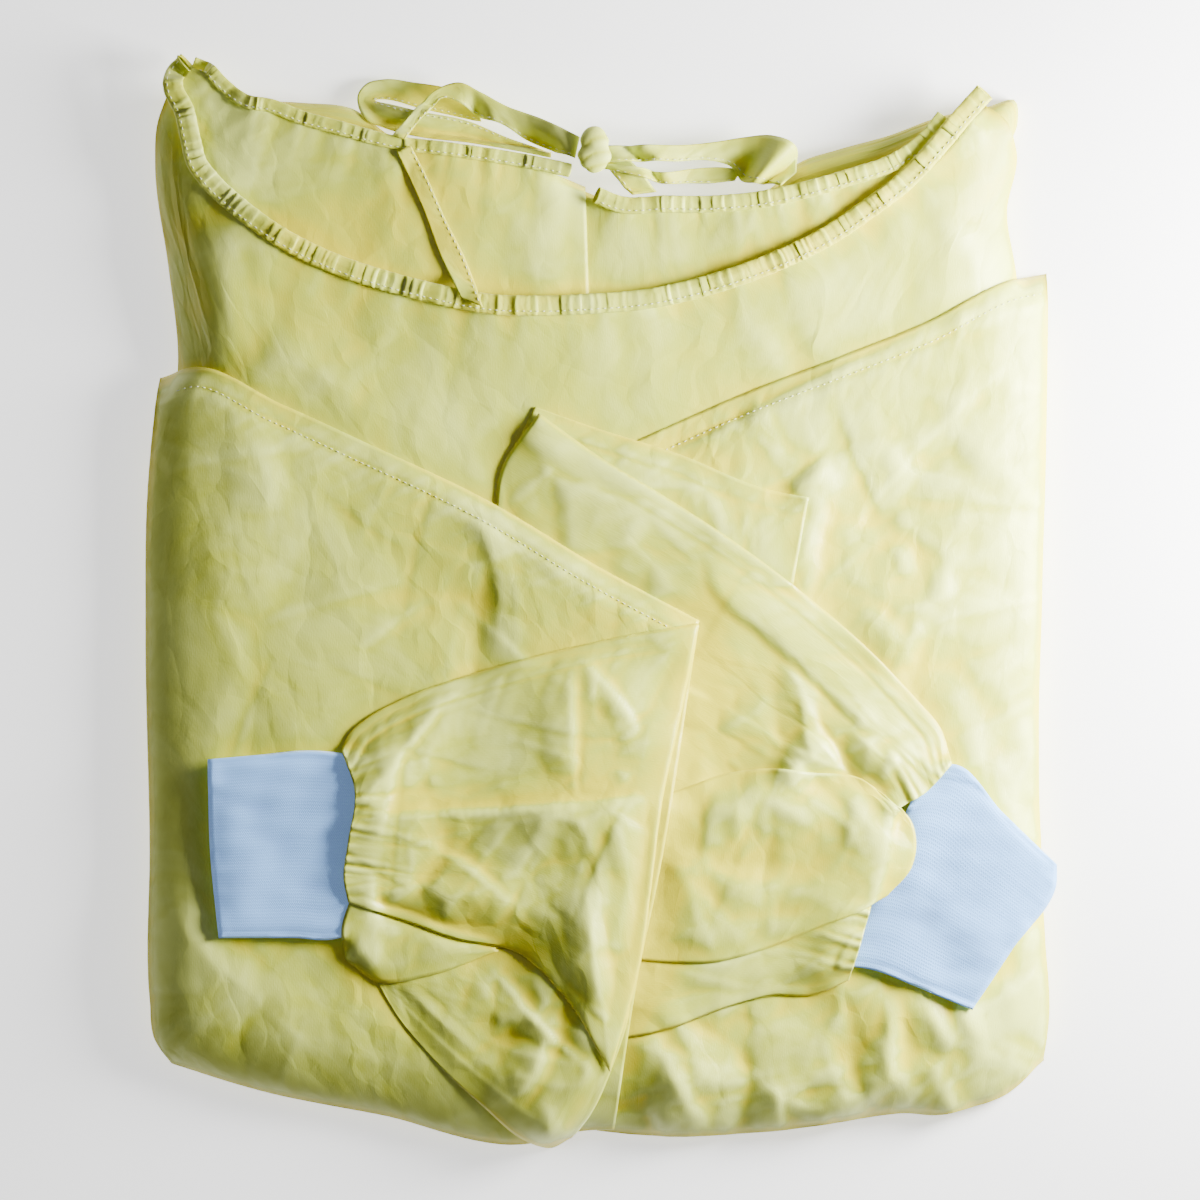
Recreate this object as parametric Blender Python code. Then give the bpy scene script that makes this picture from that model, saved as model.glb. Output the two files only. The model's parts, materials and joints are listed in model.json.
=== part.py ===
"""A folded disposable procedure gown, lying front up on a table.

The skirt is folded away under the front, both sleeves are folded across the chest
and back outwards, and the neck ties are knotted behind the gathered neckline.
Every piece is laid on the pieces below it, from the table up. Tables are in
millimetres: x runs across the gown to the picture's right, y runs up to the neck.
"""

import math

import bmesh
import bpy
import numpy as np
from mathutils import Vector
from mathutils.bvhtree import BVHTree

MM = 0.001
MIDDLE = (-1.52, 1.44)  # middle of the whole gown in the tables' frame; the origin lies there
CLOTH = 1.1 * MM  # wall of one panel
SLEEVE = 2.2 * MM  # two walls of a flattened sleeve, one on the other
CUFF_WALL = 1.5 * MM
CUFF_SLIT = 1.0 * MM  # gap between the two walls at a cuff's mouth
SLIT_DEPTH = 10 * MM
TAPE = 1.0 * MM  # thickness of a neck tie
GAP = 0.45 * MM  # clearance between pieces that lie on each other
CELL = 15.5 * MM  # spacing of a panel's points
REACH = 0.72  # how far round a point the pieces below are felt, in cells
SKY = 0.2  # height that feelers start from
SEAT = 0.35 * MM  # clearance left at the place where a seated piece touches
TIE_REACH = 5 * MM
TIE_FLOOR = 10 * MM  # lowest height of a tie past the edge of the pile
RIM_FLOOR = 7 * MM  # lowest height of a panel's edge past the edge of the pile
LIP_FLOOR = 3 * MM
LIP_OUT = 0.4 * MM
LIP_ROWS = 3  # rows over which a side's turned-down edge begins
LIP_DROP = 9 * MM  # how far a panel turns down round the pile's edge
GATHER = 1.3 * MM  # height of the gathers where a sleeve meets its cuff

YELLOW = (0.80, 0.80, 0.42)
YELLOW_DEEP = (0.72, 0.70, 0.32)
YELLOW_PALE = (0.86, 0.86, 0.55)
KNIT_WHITE = (0.72, 0.80, 0.95)

# Outline of the folded skirt, clockwise from the corner at the wearer's right neck.
SKIRT_OUTLINE = (
    (-189, 228), (-195, 214), (-195, 198), (-190, 151), (-187, 115), (-190, 79),
    (-193, 38), (-194, -43), (-193, -124), (-193, -176), (-188, -192), (-178, -201),
    (-152, -210), (-104, -220), (-50, -230), (8, -230), (76, -227), (121, -221),
    (148, -218), (176, -207), (187, -194), (190, -176), (190, -133), (189, -43),
    (188, 65), (188, 119), (183, 150), (178, 174), (183, 205), (189, 218),
    (188, 229), (175, 226), (155, 222), (130, 213), (108, 207), (90, 201), (75, 188),
    (45, 180), (9, 181), (-7, 188), (-32, 194), (-72, 204), (-97, 214),
    (-112, 225), (-135, 228), (-159, 229), (-176, 230),
)
SKIRT_STEPS = 62
CUFF_GATHERS = 11  # on the upper wall of each sleeve's end

# Edge of the folded skirt, from underneath to the top: how far in, how high,
# and how much the folded layer of that height wanders in and out.
SKIRT_PROFILE = (
    (9.0, 0.0, 0.0), (2.4, 0.0, 0.2), (0.3, 1.0, 0.4), (0.0, 2.3, 0.4), (0.6, 3.4, 0.4),
    (2.6, 3.9, 0.2), (0.8, 4.7, 0.6), (0.5, 5.9, 0.6), (1.2, 7.0, 0.6), (3.0, 7.6, 0.3),
    (1.4, 8.3, 0.7), (1.7, 9.6, 0.7), (4.2, 11.8, 0.4), (9.0, 14.2, 0.2), (17.0, 16.5, 0.0),
    (29.0, 18.2, 0.0), (46.0, 19.0, 0.0),
)

# The four borders of each panel and sleeve stretch, left to right and top to bottom.
BORDERS = {
    "back_left": {
        "top": ((-12, 184), (8, 182), (49, 180), (86, 185), (112, 192), (136, 200), (162, 225)),
        "right": ((162, 225), (167, 218), (172, 212)),
        "bottom": ((-12, 124), (45, 131), (90, 149), (126, 175), (153, 196), (172, 212)),
        "left": ((-12, 184), (-12, 124)),
    },
    "back_right": {
        "top": ((-186, 233), (-159, 225), (-140, 219), (-115, 212), (-72, 204), (-32, 197), (-7, 189)),
        "right": ((-7, 189), (-5, 126)),
        "bottom": ((-187, 214), (-178, 187), (-153, 164), (-117, 142), (-72, 129), (-5, 126)),
        "left": ((-186, 233), (-187, 214)),
    },
    "front": {
        "top": (
            (-194, 233), (-189, 222), (-184, 205), (-178, 190), (-162, 176), (-142, 162),
            (-120, 151), (-93, 144), (-63, 137), (-26, 134), (9, 136), (47, 143),
            (85, 154), (119, 174), (140, 191), (157, 207), (172, 225),
        ),
        "right": (
            (172, 225), (182, 217), (187, 205), (183, 176), (187, 151), (192, 65),
            (193, -133), (192, -183), (183, -207),
        ),
        "bottom": (
            (-188, -201), (-152, -214), (-100, -225), (-50, -234), (8, -234),
            (76, -231), (121, -225), (148, -222), (183, -207),
        ),
        "left": (
            (-194, 233), (-200, 216), (-201, 198), (-195, 151), (-191, 115), (-196, 60),
            (-198, -133), (-197, -180), (-188, -201),
        ),
    },
    "sleeve_left_upper": {
        "top": ((10, 71), (34, 72), (74, 90), (109, 107), (144, 123), (187, 145), (201, 150)),
        "right": (
            (201, 150), (201, 120), (200, 61), (198, -9), (197, -61), (200, -152), (202, -187), (200, -206),
        ),
        "bottom": (
            (16, -239), (54, -239), (79, -237), (121, -231),
            (137, -229), (151, -230), (166, -227), (183, -221), (200, -206),
        ),
        "left": ((10, 71), (-8, -90), (16, -239)),
    },
    "sleeve_left_elbow": {
        "top": ((-30, 89), (-4, 80), (34, 68), (74, 52), (93, 48)),
        "right": ((93, 48), (90, 32), (86, 9)),
        "bottom": ((-36, 76), (0, 47), (36, 27), (63, 11), (86, 9)),
        "left": ((-30, 89), (-36, 76)),
    },
    "sleeve_left_lower": {
        "top": (
            (-28, 86), (0, 66), (28, 49), (63, 26), (91, 5), (119, -19), (142, -43), (152, -55), (157, -71),
        ),
        "right": ((157, -71), (146, -83), (131, -93), (126, -115), (120, -137), (111, -168)),
        "bottom": ((0, -196), (27, -191), (61, -179), (77, -175), (94, -175), (111, -168)),
        "left": ((-28, 86), (-45, 60), (-47, 47), (-36, -7), (-18, -88), (-9, -151), (0, -196)),
    },
    "sleeve_left_flap": {
        "top": ((21, -88), (40, -81), (58, -75), (77, -73), (96, -75), (115, -77), (128, -86)),
        "right": ((128, -86), (139, -97), (141, -107), (139, -117), (128, -130)),
        "bottom": (
            (9, -158), (30, -160), (48, -160), (73, -154), (102, -142), (113, -138), (128, -130),
        ),
        "left": ((21, -88), (16, -119), (9, -158)),
    },
    "sleeve_right_upper": {
        "top": ((-199, 103), (-185, 107), (-143, 90), (-108, 74), (-51, 47), (1, 16), (44, -7)),
        "right": ((44, -7), (27, -115), (16, -169), (6, -236)),
        "bottom": ((-194, -207), (-158, -218), (-99, -230), (-33, -243), (-9, -237), (6, -236)),
        "left": (
            (-199, 103), (-204, 53), (-205, -14), (-203, -110), (-203, -178), (-201, -196), (-194, -207),
        ),
    },
    "sleeve_right_underfold": {
        "top": ((-103, -159), (-81, -154), (-50, -155), (0, -133)),
        "right": ((0, -133), (13, -178), (5, -207), (-4, -228), (-13, -241)),
        "bottom": (
            (-101, -168), (-90, -186), (-72, -207), (-53, -225), (-35, -241), (-23, -246), (-13, -241),
        ),
        "left": ((-103, -159), (-101, -168)),
    },
    "sleeve_right_strip": {
        "top": ((-112, -131), (-86, -139), (-66, -146), (-49, -151)),
        "right": ((-49, -151), (-48, -162)),
        "bottom": ((-115, -159), (-100, -169), (-77, -166), (-48, -162)),
        "left": ((-112, -131), (-116, -144), (-115, -159)),
    },
    "sleeve_right_lower": {
        "top": ((-116, -65), (-113, -58), (-104, -50), (-91, -43), (-51, -29), (5, -15), (44, -8)),
        "right": ((44, -8), (36, -48), (27, -90), (23, -122), (18, -158), (4, -209)),
        "bottom": ((-113, -133), (-86, -142), (-66, -149), (-37, -156), (-14, -178), (4, -209)),
        "left": ((-116, -65), (-110, -83), (-113, -106), (-115, -122), (-113, -133)),
    },
    "cuff_right": {
        "top": ((-176, -69), (-153, -67), (-131, -65), (-103, -68)),
        "right": ((-103, -68), (-102, -144)),
        "bottom": ((-171, -149), (-153, -149), (-135, -149), (-123, -150), (-102, -144)),
        "left": ((-176, -69), (-175, -110), (-171, -149)),
    },
    "cuff_left": {
        "top": ((146, -73), (157, -71), (180, -93), (204, -116)),
        "right": ((204, -116), (204, -124), (184, -154), (166, -181)),
        "bottom": ((106, -161), (121, -163), (144, -172), (166, -181)),
        "left": ((146, -73), (126, -115), (106, -161)),
    },
}

# Raised folds: from, to, height and half width.
FOLDS = {
    "front": (((-172, 160), (-166, 112), 1.6, 9), ((-140, 160), (-186, 158), 1.2, 8)),
    "sleeve_left_upper": (
        ((85, 50), (103, 65), 2.0, 8), ((98, 52), (86, 14), 2.0, 8), ((132, 28), (136, 12), 1.5, 8),
        ((124, -168), (130, -214), 2.5, 9), ((141, -170), (157, -202), 2.0, 8),
        ((26, -200), (42, -232), 2.0, 9), ((77, -218), (80, -236), 1.8, 8),
        ((117, -2), (135, -20), 1.6, 8), ((143, -6), (132, -28), 1.6, 8),
    ),
    "sleeve_left_lower": (
        ((50, 20), (52, 8), 1.4, 8), ((92, -36), (96, -72), 2.2, 8), ((92, -66), (78, -86), 2.0, 8),
        ((40, -120), (60, -150), 1.6, 9), ((20, -185), (60, -172), 1.6, 8),
    ),
    "sleeve_left_flap": (((60, -84), (96, -100), 1.6, 9), ((110, -86), (122, -104), 1.4, 8)),
    "sleeve_right_upper": (
        ((-58, 40), (-42, -20), 2.2, 8), ((-47, 22), (-39, -14), 1.8, 7),
        ((-198, -122), (-186, -150), 1.8, 9), ((-160, 80), (-150, 58), 1.2, 8),
    ),
    "sleeve_right_underfold": (((-23, -190), (-34, -214), 2.0, 8), ((-46, -222), (-32, -208), 1.6, 8)),
    "sleeve_right_lower": (
        ((-14, -20), (-11, -86), 1.8, 9), ((-13, -20), (19, -59), 1.6, 8), ((-66, -37), (-98, -79), 2.0, 9),
        ((-98, -97), (26, -87), 1.8, 9), ((-13, -140), (-3, -190), 1.8, 8),
    ),
}

# Lines that the gathered neckline follows, from the shoulder at the wearer's right.
NECK_FRONT = (
    (-186, 245), (-191, 240), (-192, 233), (-187, 222), (-184, 209), (-181, 198),
    (-175, 190), (-162, 178), (-144, 165), (-117, 152), (-92, 144), (-72, 139),
    (-52, 135), (-26, 134), (-3, 135), (20, 137), (47, 143), (76, 153),
    (101, 165), (119, 177), (135, 189), (152, 207), (162, 219), (172, 230),
)
NECK_BACK_RIGHT = (
    (-184, 244.5), (-178, 242), (-170, 234), (-159, 226), (-148, 224), (-135, 219),
    (-117, 214), (-95, 208), (-72, 205), (-50, 202), (-32, 199), (-14, 195),
)
NECK_BACK_LEFT = (
    (-2, 184), (8, 180), (29, 180), (50, 180), (72, 182), (91, 186),
    (112, 192), (132, 199), (146, 209), (154, 219),
)
# Each binding: its line, gathers along it, width, depth, and how strongly it gathers.
BINDINGS = {
    "neck_binding_back_right": (NECK_BACK_RIGHT, 18, 6.5, 1.8, 0.20),
    "neck_binding_back_left": (NECK_BACK_LEFT, 32, 8.0, 2.0, 0.30),
    "neck_binding_front": (NECK_FRONT, 62, 9.0, 2.2, 0.35),
}

# Neck ties: both edges of the tape at each station, as x, y and x, y.
TIES = {
    "tie_right_loop": (
        (-22.5, 204.3, -22.5, 201.2), (-42.8, 211.1, -45.5, 205.7), (-59.4, 218.2, -59, 207.9),
        (-82.4, 222.8, -85, 211.1), (-95, 225.9, -97.7, 214.7), (-100.8, 227.2, -105.8, 218.2),
        (-102.2, 227.7, -109.8, 224.6), (-102.2, 228.2, -110.2, 230.8), (-100.8, 228.6, -106.2, 236.2),
        (-96.8, 228.6, -99.5, 238.1), (-83.2, 225, -83.7, 236.7), (-68, 221.4, -69.8, 234.5),
        (-54, 218.2, -56.2, 229.1),
    ),
    "tie_right_tail": (
        (-52.6, 133.2, -63, 137.7), (-60.8, 155.7, -72.9, 158), (-69.8, 173.7, -79.7, 176.8),
        (-78.8, 194, -87.8, 194.8), (-85.2, 206.2, -91.8, 203.4),
    ),
    "tie_right_top": (
        (-93.6, 210.4, -87.6, 208.6), (-88.6, 217.8, -84.5, 214.3), (-81.5, 225.9, -77.9, 221.8),
        (-75.2, 231.8, -70.2, 228.6), (-63.9, 235.8, -65.7, 227.2), (-54, 231.3, -54, 219.6),
        (-43.6, 225.5, -45, 216.5), (-27.9, 219.6, -33.3, 209.2), (-9.5, 210.2, -11.7, 200.2),
    ),
    "tie_left_root": (
        (-1.6, 203.2, 6.5, 206.8), (6.3, 192.2, 16.6, 196.7), (13.8, 184.2, 25.4, 186),
    ),
    "tie_left_loop_low": (
        (2.1, 198.6, 1.4, 196.2), (18.9, 196.4, 18.9, 191.9), (27.9, 194.8, 28.4, 189.5),
        (40.1, 196.7, 40.1, 189.9), (54.5, 197.6, 48.1, 189.9), (63.5, 196.7, 60.3, 191.2),
    ),
    "tie_left_loop_top": (
        (1.2, 207, 2.1, 198.9), (20.2, 207, 20.2, 199.3), (33.8, 207, 32.9, 199.3),
        (53.1, 209.2, 47.2, 200.2), (64.8, 211.1, 58.1, 197.6), (78.3, 211.5, 63.5, 190.3),
        (87.8, 206.6, 78.3, 188.6), (88.2, 194.8, 80.5, 187.7),
    ),
}
KNOT_CENTRE = (-4, 204)
KNOT_SIZE = (17, 23, 8)

laid = []  # what is already lying there, for feeling its height


def smooth_line(points, count):
    """Points evenly spaced along a smooth curve through the given ones, in metres."""
    given = (np.array(points, float) - MIDDLE) * MM
    if len(given) == 2:
        return np.linspace(given[0], given[1], count)
    chord = np.r_[0, np.cumsum(np.linalg.norm(np.diff(given, axis=0), axis=1))]
    slope = np.gradient(given, chord, axis=0)
    dense = np.linspace(0, chord[-1], 40 * len(given))
    span = np.clip(np.searchsorted(chord, dense, "right") - 1, 0, len(given) - 2)
    width = (chord[span + 1] - chord[span])[:, None]
    t = (dense - chord[span])[:, None] / width
    curve = (
        (2 * t**3 - 3 * t**2 + 1) * given[span]
        + (t**3 - 2 * t**2 + t) * width * slope[span]
        + (3 * t**2 - 2 * t**3) * given[span + 1]
        + (t**3 - t**2) * width * slope[span + 1]
    )
    return evenly(curve, count)


def evenly(curve, count):
    length = np.r_[0, np.cumsum(np.linalg.norm(np.diff(curve, axis=0), axis=1))]
    wanted = np.linspace(0, length[-1], count)
    return np.stack([np.interp(wanted, length, column) for column in curve.T], axis=1)


def patch(borders, down, across):
    """A grid of plan points between four borders, rows from the neck downwards."""
    top, bottom = (smooth_line(borders[side], across) for side in ("top", "bottom"))
    left, right = (smooth_line(borders[side], down) for side in ("left", "right"))
    v = np.linspace(0, 1, down)[:, None, None]
    u = np.linspace(0, 1, across)[None, :, None]
    ruled = (1 - v) * top[None] + v * bottom[None] + (1 - u) * left[:, None] + u * right[:, None]
    corners = (1 - v) * ((1 - u) * top[0] + u * top[-1]) + v * ((1 - u) * bottom[0] + u * bottom[-1])
    return ruled - corners


def counts(borders, cell):
    """How many rows and columns of points a panel needs at this spacing."""
    length = {
        side: np.linalg.norm(np.diff(smooth_line(points, 30), axis=0), axis=1).sum()
        for side, points in borders.items()
    }
    across = max(length["top"], length["bottom"]) / cell
    down = max(length["left"], length["right"]) / cell
    return max(3, round(down) + 1), max(3, round(across) + 1)


def height_under(x, y):
    """Height of the highest piece at this place, or None past all of them."""
    start = Vector((x, y, SKY))
    heights = [hit[0].z for tree in laid if (hit := tree.ray_cast(start, Vector((0, 0, -1))))[0]]
    return max(heights, default=None)


def feel(x, y, reach):
    """Greatest height found at this place and round it."""
    found = [height_under(x, y)]
    for ring, spokes in ((0.5, 6), (1.0, 10)):
        for spoke in range(spokes):
            angle = 2 * math.pi * spoke / spokes
            found.append(height_under(x + ring * reach * math.cos(angle), y + ring * reach * math.sin(angle)))
    return max((height for height in found if height is not None), default=None)


def settle(plan, reach, floor=RIM_FLOOR, rounds=3):
    """Heights at which cloth rests over what is already laid, as a smooth upper hull."""
    felt = [[feel(x, y, reach) for x, y in row] for row in plan]
    support = np.array([[floor if height is None else max(floor, height) for height in row] for row in felt])
    support += GAP
    heights = support.copy()
    for _ in range(rounds):
        padded = np.pad(heights, 1, mode="edge")
        mean = (padded[:-2, 1:-1] + padded[2:, 1:-1] + padded[1:-1, :-2] + padded[1:-1, 2:]) / 4
        heights = np.maximum(support, mean)
    return heights


def seat(points):
    """Lowers or lifts a grid of underside points until it just clears what lies under it."""
    clear = [
        place[2] - below
        for one, two in zip(points, points[1:])
        for t in np.linspace(0, 1, 9)
        for s in np.linspace(0, 1, 13)
        for place in [across_row((1 - t) * one + t * two, s)]
        if (below := height_under(place[0], place[1])) is not None
    ]
    points = points.copy()
    points[..., 2] -= min(clear, default=SEAT) - SEAT
    return points


def across_row(row, s):
    """The point at this share of the way along a row of points."""
    steps = np.linspace(0, 1, len(row))
    return np.array([np.interp(s, steps, column) for column in row.T])


def raise_folds(plan, folds):
    """Extra height of the raised folds at each plan point."""
    lift = np.zeros(plan.shape[:-1])
    for start, end, height, half_width in folds:
        start, end = (np.array(start) - MIDDLE) * MM, (np.array(end) - MIDDLE) * MM
        along = np.clip(((plan - start) @ (end - start)) / ((end - start) @ (end - start)), 0, 1)
        away = np.linalg.norm(plan - (start + along[..., None] * (end - start)), axis=-1)
        lift = np.maximum(lift, height * MM * np.exp(-((away / (half_width * MM)) ** 2)))
    return lift


def material(colour, roughness):
    name = "cloth_%02x%02x%02x" % tuple(int(255 * c) for c in colour)
    made = bpy.data.materials.get(name) or bpy.data.materials.new(name)
    made.use_nodes = True
    shader = made.node_tree.nodes["Principled BSDF"]
    shader.inputs["Base Color"].default_value = (*colour, 1)
    shader.inputs["Roughness"].default_value = roughness
    shader.inputs["Metallic"].default_value = 0.0
    return made


def finish(name, mesh_bm, colour):
    """Turns a bmesh into the piece's object, and returns it."""
    mesh = bpy.data.meshes.new(name)
    mesh_bm.to_mesh(mesh)
    mesh_bm.free()
    mesh.shade_smooth()
    mesh.materials.append(material(colour, 0.75))
    obj = bpy.data.objects.new(name, mesh)
    bpy.context.scene.collection.objects.link(obj)
    return obj


def lay(obj):
    """Adds a finished piece to what later pieces rest on."""
    bpy.context.view_layer.update()
    laid.append(BVHTree.FromObject(obj, bpy.context.evaluated_depsgraph_get()))


def wall(name, points, thickness, colour, rim=1.0):
    """A panel from a grid of points on its underside; rim is how thick its border is."""
    down, across = points.shape[:2]
    bm = bmesh.new()
    bmesh.ops.create_grid(bm, x_segments=across - 1, y_segments=down - 1, size=1)
    bm.verts.ensure_lookup_table()
    flat = points[::-1].reshape(-1, 3)
    for vert, place in zip(bm.verts, flat):
        vert.co = place
    border = [vert.index for vert in bm.verts if vert.is_boundary]
    obj = finish(name, bm, colour)
    inside = obj.vertex_groups.new(name="inside")
    inside.add([vert.index for vert in obj.data.vertices], 1.0, "REPLACE")
    inside.add(border, rim, "REPLACE")
    solid = obj.modifiers.new("Wall", "SOLIDIFY")
    solid.thickness = thickness
    solid.offset = 1.0
    solid.use_even_offset = True
    solid.vertex_group = inside.name
    lay(obj)
    return obj


def skin(name, rings, colour):
    """A closed solid through rings of equal count, capped at both ends."""
    bm = bmesh.new()
    loops = [[bm.verts.new(place) for place in ring] for ring in rings]
    for one, two in zip(loops, loops[1:]):
        for k in range(len(one)):
            after = (k + 1) % len(one)
            bm.faces.new((one[k], one[after], two[after], two[k]))
    bm.faces.new(loops[0])
    bm.faces.new(loops[-1])
    bmesh.ops.recalc_face_normals(bm, faces=bm.faces)
    obj = finish(name, bm, colour)
    lay(obj)
    return obj


def lip(points, sides, drop):
    """Adds a turned-down row outside the named sides of a panel's grid of points."""
    for side in sides:
        axis = 0 if side in ("top", "bottom") else 1
        first = side in ("top", "left")
        edge, inner = (0, 1) if first else (-1, -2)
        row = np.take(points, [edge], axis=axis)
        away = row - np.take(points, [inner], axis=axis)
        away[..., 2] = 0
        away /= np.linalg.norm(away, axis=-1, keepdims=True)
        turned = row + away * LIP_OUT
        fade = 1.0 if axis == 0 else np.clip(np.arange(len(points)) / LIP_ROWS, 0, 1)[:, None]
        turned[..., 2] -= drop * fade
        for place in turned.reshape(-1, 3):
            below = height_under(place[0], place[1])
            place[2] = max(place[2], LIP_FLOOR if below is None else below + 2 * GAP)
        points = np.concatenate([turned, points] if first else [points, turned], axis=axis)
    return points


def gather(plan, heights, side):
    """Puckers the rows of a sleeve stretch where it is gathered onto its cuff."""
    column = 0 if side == "left" else -1
    ridge = 0.5 + 0.5 * np.cos(np.pi * np.arange(len(plan)))[:, None]
    away = np.linalg.norm(plan - plan[:, [column]], axis=-1)
    heights = heights + GATHER * ridge * np.exp(-away / (12 * MM))
    inner = plan[:, 1] if side == "left" else plan[:, -2]
    outward = plan[:, column] - inner
    outward /= np.linalg.norm(outward, axis=1, keepdims=True)
    plan = plan.copy()
    plan[1:-1, column] += (outward * ridge * 1.5 * MM)[1:-1]
    return plan, heights


def panel(name, thickness, colour, cell=CELL, sides=(), rim=1.0, cuff_side=None):
    """A laid panel or sleeve stretch, from its borders, folds and gathers."""
    borders = BORDERS[name]
    down, across = counts(borders, cell)
    if cuff_side:
        down = 2 * CUFF_GATHERS + 1
    plan = patch(borders, down, across)
    heights = settle(plan, REACH * cell) + raise_folds(plan, FOLDS.get(name, ()))
    if cuff_side:
        plan, heights = gather(plan, heights, cuff_side)
    points = np.dstack([plan, heights])
    return wall(name, lip(points, sides, LIP_DROP), thickness, colour, rim)


def folded_skirt():
    """The hidden layers: one rounded solid, flat below and layered round its edge."""
    outline = smooth_line(SKIRT_OUTLINE + SKIRT_OUTLINE[:1], SKIRT_STEPS + 1)[:-1]
    outward = outline / np.linalg.norm(outline, axis=1, keepdims=True)
    turn = np.arctan2(outline[:, 1], outline[:, 0])
    rings = []
    for row, (inset, height, wander) in enumerate(SKIRT_PROFILE):
        wave = np.sin(7 * turn + 1.9 * row) + np.sin(11 * turn + 2.3 * (row // 4))
        plan = outline - outward * (inset * MM + 0.5 * wander * MM * (1 + wave / 2))[:, None]
        rings.append(np.c_[plan, np.full(len(plan), height * MM)])
    skin("folded_skirt", rings, YELLOW_DEEP)


def binding(name):
    """A gathered tube of cloth along the neckline."""
    line, gathers, width, depth, strength = BINDINGS[name]
    path = smooth_line(line, 2 * gathers + 1)
    heading = np.gradient(path, axis=0)
    side = np.c_[-heading[:, 1], heading[:, 0]] / np.linalg.norm(heading, axis=1, keepdims=True)
    heights = settle(path[None], 0.6 * width * MM, rounds=2)[0]
    fullness = 1 + strength * np.cos(np.pi * np.arange(len(path)))
    rings = []
    for place, across, base, full in zip(path, side, heights, fullness):
        half = width * MM / 2 * (1 + 0.25 * (full - 1))
        deep = depth * MM * full
        section = (
            (-half, 0.4), (-0.5 * half, 1.0), (0.5 * half, 1.0),
            (half, 0.4), (0.5 * half, 0), (-0.5 * half, 0),
        )
        rings.append([(*(place + across * out), base + deep * up) for out, up in section])
    skin(name, rings, YELLOW_PALE)


def tie(name):
    """A flat tape through its stations, resting on the pile and drooping past it."""
    rows = np.array(TIES[name], float)
    steps = 2 * len(rows) - 1
    edges = np.stack([smooth_line(edge, steps) for edge in (rows[:, :2], rows[:, 2:])], axis=1)
    onward, across = edges[1:, 0] - edges[:-1, 0], edges[1:, 1] - edges[1:, 0]
    if (onward[:, 0] * across[:, 1] - onward[:, 1] * across[:, 0]).sum() < 0:
        edges = edges[:, ::-1]  # so that the wall is thickened upwards
    heights = settle(edges, TIE_REACH, floor=TIE_FLOOR, rounds=6)
    return wall(name, seat(np.dstack([edges, heights])), TAPE, YELLOW_PALE)


def knot():
    """The bow's knot: a squat lump on the ends of the ties, pinched between its turns."""
    turn = 2 * math.pi * np.arange(10) / 10
    rings = []
    for t in np.linspace(-0.92, 0.92, 6):
        reach = math.sqrt(1 - t * t) * (1 + 0.14 * np.cos(3 * turn + 2.5 * t))
        rings.append(np.c_[
            KNOT_CENTRE[0] - MIDDLE[0] + KNOT_SIZE[0] / 2 * reach * np.cos(turn),
            np.full(len(turn), KNOT_CENTRE[1] - MIDDLE[1] + KNOT_SIZE[1] / 2 * t),
            KNOT_SIZE[2] * (0.5 + 0.5 * reach * np.sin(turn)),
        ] * MM)
    lower = np.array([ring[turn >= math.pi] for ring in rings])
    lift = seat(lower)[0, 0, 2] - lower[0, 0, 2]
    skin("tie_knot", [ring + (0, 0, lift) for ring in rings], YELLOW_PALE)


def cuff(name, mouth, ribs=16, rows=4):
    """A flattened knit tube, ribbed on top, with a shallow slit at its mouth."""
    across = 2 * ribs + 1
    borders = BORDERS[name]
    if mouth == "left":
        plan = patch(borders, across, rows)[:, ::-1].transpose(1, 0, 2)
    else:
        plan = patch(borders, across, rows).transpose(1, 0, 2)
    base = settle(plan[:, ::4], REACH * CELL)
    spread = np.linspace(0, 1, across)
    base = np.stack([np.interp(spread, spread[::4], row) for row in base])
    side = np.abs(2 * spread - 1)
    swell = np.sqrt(1 - np.clip((side - 0.86) / 0.14, 0, 1) ** 2)
    thick = 2 * CUFF_WALL + CUFF_SLIT
    rib = 0.35 * MM * np.cos(np.pi * np.arange(across))
    rings = []
    for place, floor in zip(plan, base):
        top = floor + thick * (0.5 + 0.5 * swell) + rib * swell
        under = floor + thick * (0.5 - 0.5 * swell)
        rings.append(np.r_[np.c_[place, top], np.c_[place, under][-2:0:-1]])
    rings += slit(plan, base, thick, swell)
    skin(name, rings, KNIT_WHITE)


def slit(plan, base, thick, swell):
    """The inner rings of a cuff's mouth, from its rim inwards."""
    inner = []
    run = np.linalg.norm(plan[-1] - plan[0], axis=1).mean()
    for depth in (0, SLIT_DEPTH):
        place = plan[-1] + (plan[0] - plan[-1]) * depth / run
        centre = place.mean(axis=0)
        place = centre + (place - centre) * 0.94
        middle = base[-1] + thick / 2
        half = CUFF_SLIT / 2 * (0.3 + 0.7 * swell)
        inner.append(np.r_[np.c_[place, middle + half], np.c_[place, middle - half][-2:0:-1]])
    return inner


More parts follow.
